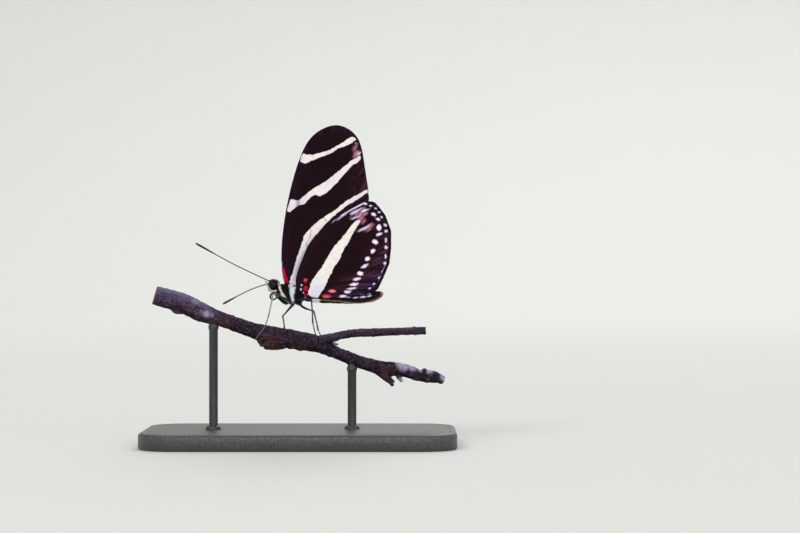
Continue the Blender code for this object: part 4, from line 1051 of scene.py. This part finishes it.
limbBends = [
    (-36.0, -3.0, 37.5, 2.35), (-29.0, -1.9, 35.4, 2.55), (-24.0, -1.2, 33.0, 2.40),
    (-20.0, -0.8, 31.6, 1.85), (-13.0, -0.2, 29.1, 1.95), (-8.0, 0.0, 27.6, 2.35),
    (-1.0, 0.0, 26.2, 2.40), (4.0, 0.1, 25.3, 2.15), (8.0, 0.3, 23.5, 1.60),
    (15.0, 0.7, 20.7, 1.62), (21.0, 1.0, 19.1, 1.78), (26.0, 1.2, 18.6, 1.72),
    (30.0, 1.4, 17.3, 1.50), (33.0, 1.5, 17.0, 1.62), (36.2, 1.6, 16.3, 0.80)]
twigBends = [
    (3.5, -0.1, 26.0, 1.30), (7.5, -0.3, 26.7, 1.20), (10.5, -0.4, 27.5, 1.10),
    (14.0, -0.5, 27.95, 1.05), (20.0, -0.7, 28.2, 1.05), (26.0, -0.9, 28.45, 1.02), (31.5, -1.0, 28.6, 1.0)]
spurBends = [(19.6, 0.9, 18.6, 1.25), (21.6, 0.7, 16.9, 1.05), (23.4, 0.6, 15.2, 0.70)]
swellings = [((-7.2, -0.2, 25.9), (3.0, 2.0, 1.7)), ((0.2, -0.3, 24.3), (1.3, 1.2, 0.9)),
             ((-1.6, -0.9, 24.6), (0.8, 0.8, 0.6)),
             ((-30.0, -2.1, 33.8), (1.8, 1.5, 1.2)), ((22.8, 1.0, 19.6), (2.0, 1.3, 1.3))]
knotFolds = [((-8.2, -1.6, 26.6), (2.2, 0.8, 0.5)), ((-6.2, -1.9, 25.7), (2.6, 0.75, 0.5)),
             ((-7.3, -1.5, 24.9), (2.9, 0.9, 0.45)), ((-6.4, -0.6, 24.2), (2.8, 1.3, 0.5)),
             ((-9.9, -1.0, 26.3), (0.8, 1.0, 1.1)), ((-3.9, -1.1, 24.9), (1.0, 0.9, 0.7))]
perch = {
    "voxel": 0.18, "soften": 2, "ridge": 0.07, "rough": 0.1, "pits": 0.05, "ring": 0.12, "sunk": 0.06,
    # shaded: the stretch of the perch, x in mm, that is painted in shade
    "shaded": (-20.5, 44.0), "rings": [-31.5, -21.5, -16.5, -2.5, 7.4, 12.2, 18.3, 28.6, 31.6],
    "buds": [((-25.3, -2.2, 35.4), (0.8, 0.5, 0.5)), ((-27.2, -1.6, 36.4), (0.45, 0.4, 0.4)),
             ((8.8, -0.9, 25.2), (1.0, 0.6, 0.4)), ((24.8, 0.2, 17.0), (0.8, 0.8, 0.8)),
             ((31.0, 0.4, 18.6), (0.7, 0.8, 0.7)), ((21.9, -0.6, 28.3), (0.4, 0.5, 0.8)),
             ((-11.5, -1.2, 30.0), (0.7, 0.6, 0.5)), ((34.3, 1.2, 17.4), (0.7, 0.8, 0.6)),
             ((-17.2, -1.4, 31.6), (0.55, 0.5, 0.45)), ((27.6, 0.0, 17.6), (0.9, 0.7, 0.7)),
             ((29.3, 0.4, 16.5), (0.7, 0.7, 0.6)), ((32.2, 0.2, 16.3), (0.9, 0.8, 0.7)),
             ((35.2, 1.0, 15.7), (0.7, 0.8, 0.6)), ((25.3, 0.3, 16.1), (0.6, 0.5, 0.5)),
             ((23.0, -0.1, 15.1), (0.6, 0.6, 0.5))],
    # lighter and warmer patches: place, reach in mm, strength
    "pale": [((25.9, 0.4, 20.3), 1.9, 1.0), ((28.2, 0.5, 19.6), 1.4, 0.9), ((30.4, 0.8, 18.9), 1.1, 0.8),
             ((32.2, 0.9, 18.6), 1.2, 0.9), ((35.8, 1.2, 16.8), 1.1, 0.9), ((8.9, -0.8, 25.4), 0.7, 0.8),
             ((25.2, 0.1, 16.1), 1.0, 1.0), ((23.6, 0.0, 15.2), 0.6, 0.9),
             # the four patches at the left end are a painted sheen of light on the limb's upper front; the
             # others are pale bark
             ((-24.4, -3.0, 33.3), 1.0, 0.5), ((-23.0, -3.4, 32.8), 1.2, 0.6),
             ((-21.7, -3.3, 32.5), 1.0, 0.5), ((-26.0, -2.6, 35.6), 1.6, 0.5)],
    "warm": [((-7.4, -1.8, 24.9), 3.0, 1.0), ((0.4, -1.2, 24.2), 1.6, 1.0), ((21.6, -0.4, 18.0), 1.6, 1.0),
             ((-25.3, -2.2, 35.4), 1.0, 1.0),
             ((-18.5, -2.2, 31.0), 2.2, 1.0)],
}


def lineAndRadii(bends, count):
    found = smoothLine(bends, count)
    return found[:, :3], found[:, 3]


def limbAt(x):
    line, radii = lineAndRadii(limbBends, 200)
    index = int(np.argmin(np.abs(line[1:-1, 0] - x))) + 1
    return line[index], unit(line[index + 1] - line[index - 1]), radii[index]


def onLimb(x, degrees, clearance):  # degrees round from the limb's top towards the camera's side
    centre, along, radius = limbAt(x)
    up = unit(np.array((0, 0, 1.0)) - along * along[2])
    front = np.cross(along, up)
    if front[1] > 0:
        front = -front
    turn = math.radians(degrees)
    return centre + (up * math.cos(turn) + front * math.sin(turn)) * (radius + clearance)


def perchParts():
    branches = ((limbBends, 160, 36), (twigBends, 90, 28), (spurBends, 24, 20))
    parts = [sweep(*lineAndRadii(bends, count), around) for bends, count, around in branches]
    return parts + [ball(centre, radii, 28, 18) for centre, radii in swellings + knotFolds + perch["buds"]]


def barkPlaces(points):  # along, round and out from the nearest branch, and which branch that is
    count = 120
    found, lead, best = np.zeros((len(points), 3)), np.zeros(len(points), int), np.full(len(points), 1e9)
    for which, bends in enumerate((limbBends, twigBends, spurBends)):
        line, radii = lineAndRadii(bends, count)
        reach = np.concatenate([[0], np.cumsum(np.linalg.norm(np.diff(line, axis=0), axis=1))])
        near = np.array([np.argmin(((line - p) ** 2).sum(1)) for p in points])
        way = unit(np.gradient(line, axis=0))[near]
        past = ((points - line[near]) * way).sum(1)
        out = points - line[near] - past[:, None] * way
        away = np.linalg.norm(out, axis=1)
        gap = np.hypot(away, np.where((near == 0) | (near == count - 1), past, 0)) - radii[near]
        turn = np.arctan2(out[:, 1], out[:, 2])
        better = gap < best
        best[better], lead[better] = gap[better], which
        found[better] = np.stack([reach[near] + past + 90 * which, turn * 2.0, away], 1)[better]
    return found, lead


def vertexNormals(verts, faces):
    quads = np.array([face if len(face) == 4 else (*face, face[-1]) for face in faces])
    normal = np.cross(verts[quads[:, 2]] - verts[quads[:, 0]], verts[quads[:, 3]] - verts[quads[:, 1]])
    total = np.zeros_like(verts)
    for k in range(4):
        np.add.at(total, quads[:, k], normal)
    return unit(total)


def hollowness(verts, faces, normals, passes):  # mm by which the neighbours of a point stand over it
    pairs = np.array([(a, b) for face in faces for a, b in zip(face, face[1:] + face[:1])])
    count = np.maximum(np.bincount(pairs[:, 0], minlength=len(verts)), 1)[:, None]
    total = np.zeros_like(verts)
    np.add.at(total, pairs[:, 0], verts[pairs[:, 1]])
    over = ((total / count - verts) * normals).sum(1)
    for _ in range(passes):
        spread = np.zeros(len(verts))
        np.add.at(spread, pairs[:, 0], over[pairs[:, 1]])
        over = 0.5 * over + 0.5 * spread / count[:, 0]
    return over


def nearPatches(points, patches):
    best = np.zeros(len(points))
    for centre, reach, strength in patches:
        away = np.linalg.norm(points - np.array(centre), axis=1) / reach
        best = np.maximum(best, strength * np.exp(-away ** 2))
    return best


def barkFinish():
    look = Finish("twig bark", Specular_IOR_Level=0.08)
    spot, shaded = look.place("twigPlace"), look.mark("shaded")
    grain, fine = look.grain("barkPlace", 1.6, 1.4), look.grain("twigPlace", 3.0, 4.5)
    broad = look.noise(spot, 0.35, 3.0)
    # painted highlight: the up-facing bark turns lighter and bluish as if lit by the sky, together with grey
    # weathering on top; less of it in the shaded middle
    dustAndSkyLight = look.times(look.mark("top"), look.ramp(broad, 0.25, 0.6))
    dustAndSkyLight = look.times(dustAndSkyLight, look.ramp(shaded, 0.0, 1.0, 1.0, 0.36))
    dustAndSkyLight = look.times(dustAndSkyLight, look.ramp(fine["Speck"], 0.3, 0.6, 0.35, 0.95))
    # painted shade: the shaded middle stretch of the perch darkened towards black
    shadeDark = look.times(shaded, look.ramp(grain["Speck"], 0.36, 0.62, 0.9, 0.4))
    warm = look.times(look.mark("warm"), look.ramp(fine["Speck"], 0.35, 0.65, 0.1, 0.6))
    # pale: pale bark at the right end and on buds, and a painted sheen at the left end
    pale = look.times(look.ramp(look.mark("pale"), 0.15, 0.7), look.ramp(fine["Speck"], 0.38, 0.52, 0.1, 1.0))
    fromPith = look.plus(look.mark("fromPith"), look.times(broad, 0.12))
    yearRings = look.ramp(look.sine(look.times(fromPith, 44.0)), -0.8, 1.0)
    wood = look.layers(look.blend(yearRings, srgb(146, 112, 80), srgb(198, 168, 128)),
                       (look.ramp(fromPith, 0.16, 0.06), srgb(84, 56, 44)),
                       (look.ramp(fromPith, 0.84, 0.95), srgb(56, 36, 36)))
    fibres = look.ramp(grain["Streak"], 0.3, 0.72)
    colour = look.layers(look.blend(fibres, srgb(36, 22, 32), srgb(82, 66, 92)),
                         (look.times(look.ramp(fine["Speck"], 0.52, 0.66), 0.5), srgb(120, 104, 120)),
                         (look.times(look.ramp(fine["Streak"], 0.5, 0.36), 0.75), srgb(22, 12, 16)),
                         (dustAndSkyLight, srgb(114, 110, 146)),
                         # painted shade: the downward-facing bark darkened
                         (look.mark("under"), srgb(22, 11, 9)),
                         (look.ramp(look.mark("raised"), 0.1, 0.8, 0.0, 0.22), srgb(116, 100, 122)),
                         # darker in the bark's furrows and pits, their own colour, and in the hollows between
                         # lobes as painted shade
                         (look.mark("crevice"), srgb(20, 12, 14)),
                         (shadeDark, srgb(13, 5, 9)),
                         (warm, srgb(92, 56, 48)),
                         (pale, look.blend(broad, srgb(152, 138, 180), srgb(196, 186, 212))),
                         (look.mark("cut"), wood))
    look.feed(Base_Color=colour, Roughness=look.ramp(fine["Speck"], 0.3, 0.7, 0.7, 0.92))
    look.bump(look.plus(look.times(grain["Height"], 0.6), fine["Height"]), 0.55, 0.00013)
    return look.material


perchVerts, perchFaces = fused(perchParts(), perch["voxel"], perch["soften"])
barkPlace, lead = barkPlaces(perchVerts)
perchNormals = vertexNormals(perchVerts, perchFaces)
cut, fromPith = np.zeros(len(perchVerts)), np.zeros(len(perchVerts))
ends = [(lineAndRadii(limbBends, 120)[0], limbBends[0][3])]
ends += [(lineAndRadii(twigBends, 90)[0][::-1], twigBends[-1][3])]
for (place, inside, *_), radius in ends:
    inward = unit(inside - place)
    near = np.linalg.norm(perchVerts - place, axis=1) < radius * 1.4
    cut = np.maximum(cut, smoothStep(0.75, 0.92, perchNormals @ -inward) * near)
    fromPith[near] = (np.linalg.norm(np.cross(perchVerts - place, inward), axis=1) / radius)[near]
hollow = np.clip(hollowness(perchVerts, perchFaces, perchNormals, 6) / 0.012, -1, 1)
alongBark = [Vector((x * 0.16, y * 0.9, which * 7.0)) for (x, y, _), which in zip(barkPlace, lead)]
ridge = np.array([noise.fractal(place, 0.6, 2.0, 4) for place in alongBark])
rough = np.array([noise.fractal(Vector(p) * 0.9, 0.7, 2.0, 4) for p in perchVerts])
pits = np.array([noise.noise(Vector(p) * 1.9) for p in perchVerts])
rings = np.max([np.exp(-((perchVerts[:, 0] - x + 0.25 * rough) / 0.3) ** 2) for x in perch["rings"]], axis=0)
push = perch["ridge"] * ridge + perch["rough"] * rough + perch["pits"] * pits + perch["ring"] * rings
perchVerts = perchVerts + perchNormals * (push * (1 - cut) - perch["sunk"])[:, None]
twigSkin = asPiece("perch_bark", perchVerts, perchFaces, barkFinish(), worldMatrix)
# painted shade over the middle stretch, weaker on the side twig
fromX, toX = perch["shaded"]
shaded = smoothStep(fromX - 2, fromX + 2, perchVerts[:, 0]) * smoothStep(toX + 2, toX - 2, perchVerts[:, 0])
paint(twigSkin, barkPlace=barkPlace, twigPlace=perchVerts, fromPith=fromPith, cut=cut,
      shaded=shaded * np.where(lead == 1, 0.7, 1.0),
      # the hollowness term is painted shade; the ridge, rough and pit terms are the bark's own darker furrows
      crevice=np.clip(-ridge * 0.7 - rough * 0.3 - pits * 0.4 - 0.12 + 0.9 * hollow, 0, 0.8) * (1 - cut),
      raised=np.clip(pits * 1.5 + rough * 0.4 - hollow, 0, 1) * (1 - cut),
      # top: the up-facing share of the bark, which takes the painted sky highlight
      top=smoothStep(0.1, 0.9, perchNormals[:, 2]) * (1 - cut),
      # under: painted shade on the downward-facing bark
      under=0.6 * smoothStep(0.0, -0.9, perchNormals[:, 2]) * (1 - cut),
      **{label: nearPatches(perchVerts, perch[label]) * (1 - cut) for label in ("warm", "pale")})
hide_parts("perch_limb", "perch_side_twig")
print("twig", len(perchFaces), "faces")

legs = {
    "midleg_left": {"hip": (-0.2, -1.0, -2.1), "knee": (-6.4, -4.7, 38.0), "ankle": (-7.7, -3.9, 31.9),
                    "arch": 0.0, "toes": [(-9.1, 46, 0.32), (-9.75, 90, 0.2), (-10.35, 137, 0.32)],
                    "pale": 1.0, "seed": 61},
    "midleg_right": {"hip": (0.5, 1.0, -1.9), "knee": (-4.5, 3.9, 32.1), "ankle": (-4.0, 2.5, 29.2),
                     "arch": 0.05, "toes": [(-3.5, -75, 0.15), (-3.3, -100, 0.12), (-3.1, -130, 0.12)],
                     "pale": 0.15, "seed": 62},
    "hindleg_left": {"hip": (1.5, -1.0, -1.8), "knee": (3.0, -4.1, 36.6), "ankle": (3.3, -2.3, 30.6),
                     "arch": 0.12,
                     "toes": [(3.4, 38, 0.2), (3.9, 62, 0.12), (4.3, 90, 0.12)], "pale": 0.1, "seed": 63},
    "hindleg_right": {"hip": (1.1, 1.0, -2.0), "knee": (3.3, 3.6, 33.4), "ankle": (4.5, 1.5, 28.7),
                      "arch": -0.45, "toes": [(4.9, -50, 0.2), (5.2, -80, 0.12), (5.4, -110, 0.12)],
                      "pale": 0.2, "seed": 64},
}
legBuild = {"thigh": 0.3, "shin": 0.18, "foot": 0.135, "footSegments": 5,
            "hair": {"count": 420, "length": (0.14, 0.3), "lift": (0.3, 0.9), "width": 0.016}}


legMaterial = scaledFinish("leg scales", 0.3, (5.0, 6.0), (srgb(16, 15, 20), srgb(46, 50, 64)),
                           (srgb(104, 118, 138), srgb(176, 190, 206)),
                           lambda look: look.times(look.mark("pale"), 0.85), (0.42, 0.65), (0.4, 0.00003))


for name, spec in legs.items():
    hip = np.array(spec["hip"])
    knee, ankle = inBody(spec["knee"]), inBody(spec["ankle"])
    toes = [inBody(onLimb(*toe)) for toe in spec["toes"]]
    thigh = smoothLine([hip, hip + (knee - hip) * 0.42 + (0, 0, spec["arch"]), knee], 40)
    share = np.linspace(0, 1, 40)
    swell = 0.85 + 0.35 * np.sin(np.minimum(share * 1.3, 1) * math.pi)
    thighRadii = legBuild["thigh"] * (1 - 0.35 * share) * swell
    shin = smoothLine([knee, knee + (ankle - knee) * 0.5 + (0.06, 0, 0.0), ankle], 40)
    shinRadii = legBuild["shin"] * (1.15 - 0.25 * np.sin(share * math.pi) + 0.12 * share ** 6)
    foot = smoothLine([ankle, *toes], 61)
    footShare = np.linspace(0, 1, 61)
    inSegment = (footShare * legBuild["footSegments"]) % 1.0
    footRadii = legBuild["foot"] * (1 - 0.25 * footShare) * (0.8 + 0.3 * inSegment ** 0.7)
    footRadii[-4:] *= (1.0, 0.95, 0.8, 0.5)
    parts = [sweep(thigh, thighRadii, 14), sweep(shin, shinRadii, 12), sweep(foot, footRadii, 12),
             ball(knee, (0.19, 0.19, 0.19), 12, 8), ball(ankle, (0.15, 0.15, 0.15), 12, 8)]
    last = unit(foot[-1] - foot[-6])
    for lean in (-1, 1):  # a pair of claws
        out = np.cross(last, (0, 1, 0)) * 0.4 + np.array((0, lean * 0.55, 0))
        end = foot[-2]
        claw = smoothLine([end, end + last * 0.12 + out * 0.22, end + last * 0.3 + out * 0.3], 8)
        parts.append(sweep(claw, np.linspace(0.045, 0.012, 8), 6))
    down = unit(ankle - knee)
    for spot, way in ((0.97, 1), (0.95, -1)):  # spurs at the end of the shin
        base = knee + (ankle - knee) * spot
        spur = [base, base + down * 0.25 + (0, way * 0.1, 0.02), base + down * 0.48 + (0, way * 0.14, 0)]
        parts.append(sweep(spur, [0.05, 0.035, 0.01], 6))

    def downLeg(roots):
        onThigh = np.linalg.norm(roots - hip, axis=1) < np.linalg.norm(knee - hip)
        return np.where(onThigh[:, None], knee - hip, ankle - knee)

    rng = np.random.default_rng(spec["seed"])
    (verts, faces), _ = haired(joined(parts), downLeg, legBuild["hair"], rng)
    piece = asPiece(name + "_jointed", verts, faces, legMaterial)
    pastKnee = lineDistance(verts, thigh) - lineDistance(verts, np.vstack([shin, foot]))
    pastAnkle = lineDistance(verts, shin) - lineDistance(verts, foot)
    pale = spec["pale"] * smoothStep(-0.2, 0.4, pastKnee) * (1 - 0.5 * smoothStep(0.2, 1.2, pastAnkle))
    paint(piece, bodyPlace=verts, pale=pale)
    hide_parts(name)

foreleg = {"line": [(-2.2, 0.8, -1.3), (-3.1, 1.0, -1.5), (-3.95, 1.0, -0.8), (-3.75, 1.0, -0.2)],
           "radius": 0.14,
           "hair": {"count": 600, "length": (0.12, 0.28), "lift": (0.3, 0.8), "width": 0.022}, "seed": 51}
for word, side in sides.items():
    line = smoothLine([(x, side * y, z) for x, y, z in foreleg["line"]], 60)
    share = np.linspace(0, 1, 60)
    core = sweep(line, foreleg["radius"] * (1 - 0.4 * share) * np.sqrt(np.maximum(0.1, 1 - share ** 8)), 14)
    rng = np.random.default_rng(foreleg["seed"] + (side > 0))
    (verts, faces), roots = haired(core, alongLine(line), foreleg["hair"], rng)
    piece = asPiece("foreleg_" + word + "_folded", verts, faces, palpMaterial)
    paint(piece, white=np.full(len(verts), -1.0), bodyPlace=np.vstack([core[0], onTufts(roots)]))
    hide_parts("foreleg_" + word)
print("legs done")

stand = {"size": (78.0, 42.0, 4.0), "corner": 9.0, "edge": 0.8, "rod": 1.1,
         "rods": {"left": -21.5, "right": 13.0}}


def paintFinish(name, low, high):
    look = Finish(name, Metallic=0.15)
    peel, cloud = (look.noise(look.place("standPlace"), scale, 3.0) for scale in (2.2, 0.08))
    worn = look.times(look.mark("edgeWear"), look.ramp(peel, 0.4, 0.7))
    look.feed(Base_Color=look.blend(worn, look.blend(cloud, low, high), srgb(92, 92, 94)),
              Roughness=look.ramp(peel, 0.3, 0.7, 0.38, 0.52))
    look.bump(peel, 0.12, 0.00004)
    return look.material


def plateRing(length, width, corner, per=14):
    ring = []
    midX, midY = length / 2 - corner, width / 2 - corner
    for cx, cy, first in ((1, 1, 0), (-1, 1, 90), (-1, -1, 180), (1, -1, 270)):
        for k in range(per + 1):
            turn = math.radians(first + 90 * k / per)
            ring.append((cx * midX + corner * math.cos(turn), cy * midY + corner * math.sin(turn)))
    return np.array(ring)


def plate():
    long, wide, tall = stand["size"]
    edge = stand["edge"]
    steps = [(0.35, 0.0), (0.0, 0.35)]
    for a in np.linspace(0, math.pi / 2, 8):
        steps.append((edge * (1 - math.cos(a)), tall - edge * (1 - math.sin(a))))
    # the last three are a fine line cut round the top
    steps += [(edge + 0.9, tall), (edge + 1.2, tall - 0.12), (edge + 1.5, tall)]
    rings = []
    for inset, height in steps:
        ring = plateRing(long - 2 * inset, wide - 2 * inset, stand["corner"] - inset)
        rings.append(np.column_stack([ring, np.full(60, height)]))
    faces = bandFaces(len(rings), 60)
    faces += [tuple(range(60))[::-1], tuple(range((len(rings) - 1) * 60, len(rings) * 60))]
    wear = np.repeat([0.0, 0.3] + [0.9] * 8 + [0.1, 0.2, 0.1], 60)
    return np.vstack(rings), faces, wear


standMaterial = paintFinish("stand paint", srgb(50, 51, 53), srgb(66, 67, 69))
verts, faces, wear = plate()
base = asPiece("stand_plate", verts, faces, standMaterial, worldMatrix, smooth=False)
for polygon in base.data.polygons:
    polygon.use_smooth = len(polygon.vertices) == 4
paint(base, standPlace=verts, edgeWear=wear)
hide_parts("stand_base")
rodMaterial = paintFinish("rod paint", srgb(44, 45, 47), srgb(58, 59, 61))
for word, x in stand["rods"].items():
    centre, along, radius = limbAt(x)
    top, r = centre[2] - radius * 0.72, stand["rod"]
    profile = [(4.0, r * 1.75), (4.35, r * 1.75), (4.75, r * 1.55), (4.9, r * 1.05), (5.2, r), (top - 1.9, r)]
    profile += [(top - 1.7, r * 1.12), (top - 1.2, r * 1.2), (top - 0.8, r * 1.12), (top - 0.5, r),
                (top, r * 0.92)]
    verts, faces = sweep([(x, centre[1], z) for z, _ in profile], [q for _, q in profile], 40)
    piece = asPiece("stand_rod_" + word + "_turned", verts, faces, rodMaterial, worldMatrix)
    piece.data.set_sharp_from_angle(angle=math.radians(40))
    paint(piece, standPlace=verts, edgeWear=np.zeros(len(verts)))
    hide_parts("stand_rod_" + word)
print("stand done")


studio = {"flat": 1.3, "rise": 3.2, "floor": srgb(226, 226, 222),
          "key": 13.5, "fill": 9.0, "front": 12.0, "rim": 16.0, "world": 0.55}
profile = [(0.0, 0.0), (0.3, 0.0), (0.8, 0.0), (studio["flat"], 0.0)]
for a in np.linspace(0.1, math.pi / 2 * 0.9, 14):
    profile.append((studio["flat"] + 1.2 * math.sin(a), 1.2 * (1 - math.cos(a))))
profile += [(profile[-1][0] + 0.15, studio["rise"])]
verts, around = [(0, 0, 0)], 96
turns = np.linspace(0, math.tau, around, endpoint=False)
for out, up in profile[1:]:
    verts += [(out * math.cos(t), out * math.sin(t), up) for t in turns]
faces = [(0, 1 + k, 1 + (k + 1) % around) for k in range(around)]
faces += [tuple(1 + i for i in face[::-1]) for face in bandFaces(len(profile) - 1, around)]
floorMesh = bpy.data.meshes.new("studio_floor")
floorMesh.from_pydata(verts, [], faces)
floorMesh.shade_smooth()
floor = bpy.data.objects.new("studio_floor", floorMesh)
bpy.context.scene.collection.objects.link(floor)
floorLook = Finish("plain floor", Roughness=0.9, Base_Color=(*studio["floor"], 1.0))
floorMesh.materials.append(floorLook.material)


def softLight(name, place, size, power, colour):
    data = bpy.data.lights.new(name, "AREA")
    data.shape, data.size, data.energy, data.color = "DISK", size, power, colour
    light = bpy.data.objects.new(name, data)
    light.location = place
    light.rotation_euler = (Vector((0, 0, 0.04)) - Vector(place)).to_track_quat("-Z", "Y").to_euler()
    light.visible_camera = False
    bpy.context.scene.collection.objects.link(light)


softLight("key", (-0.96, -1.31, 1.48), 0.9, studio["key"], (1.0, 0.98, 0.95))
softLight("fill", (1.6, -1.3, 0.7), 1.5, studio["fill"], (0.94, 0.97, 1.0))
softLight("front", (0.1, -1.6, 0.08), 1.2, studio["front"], (1.0, 0.99, 0.98))
softLight("rim", (0.31, 1.64, 1.5), 1.2, studio["rim"], (1.0, 1.0, 1.0))
world = bpy.data.worlds.new("studio")
bpy.context.scene.world = world
world.use_nodes = True
sky = world.node_tree.nodes["Background"].inputs
sky["Color"].default_value, sky["Strength"].default_value = (0.92, 0.96, 1.0, 1.0), studio["world"]
bpy.context.scene.view_settings.view_transform = "Standard"
print("studio done")
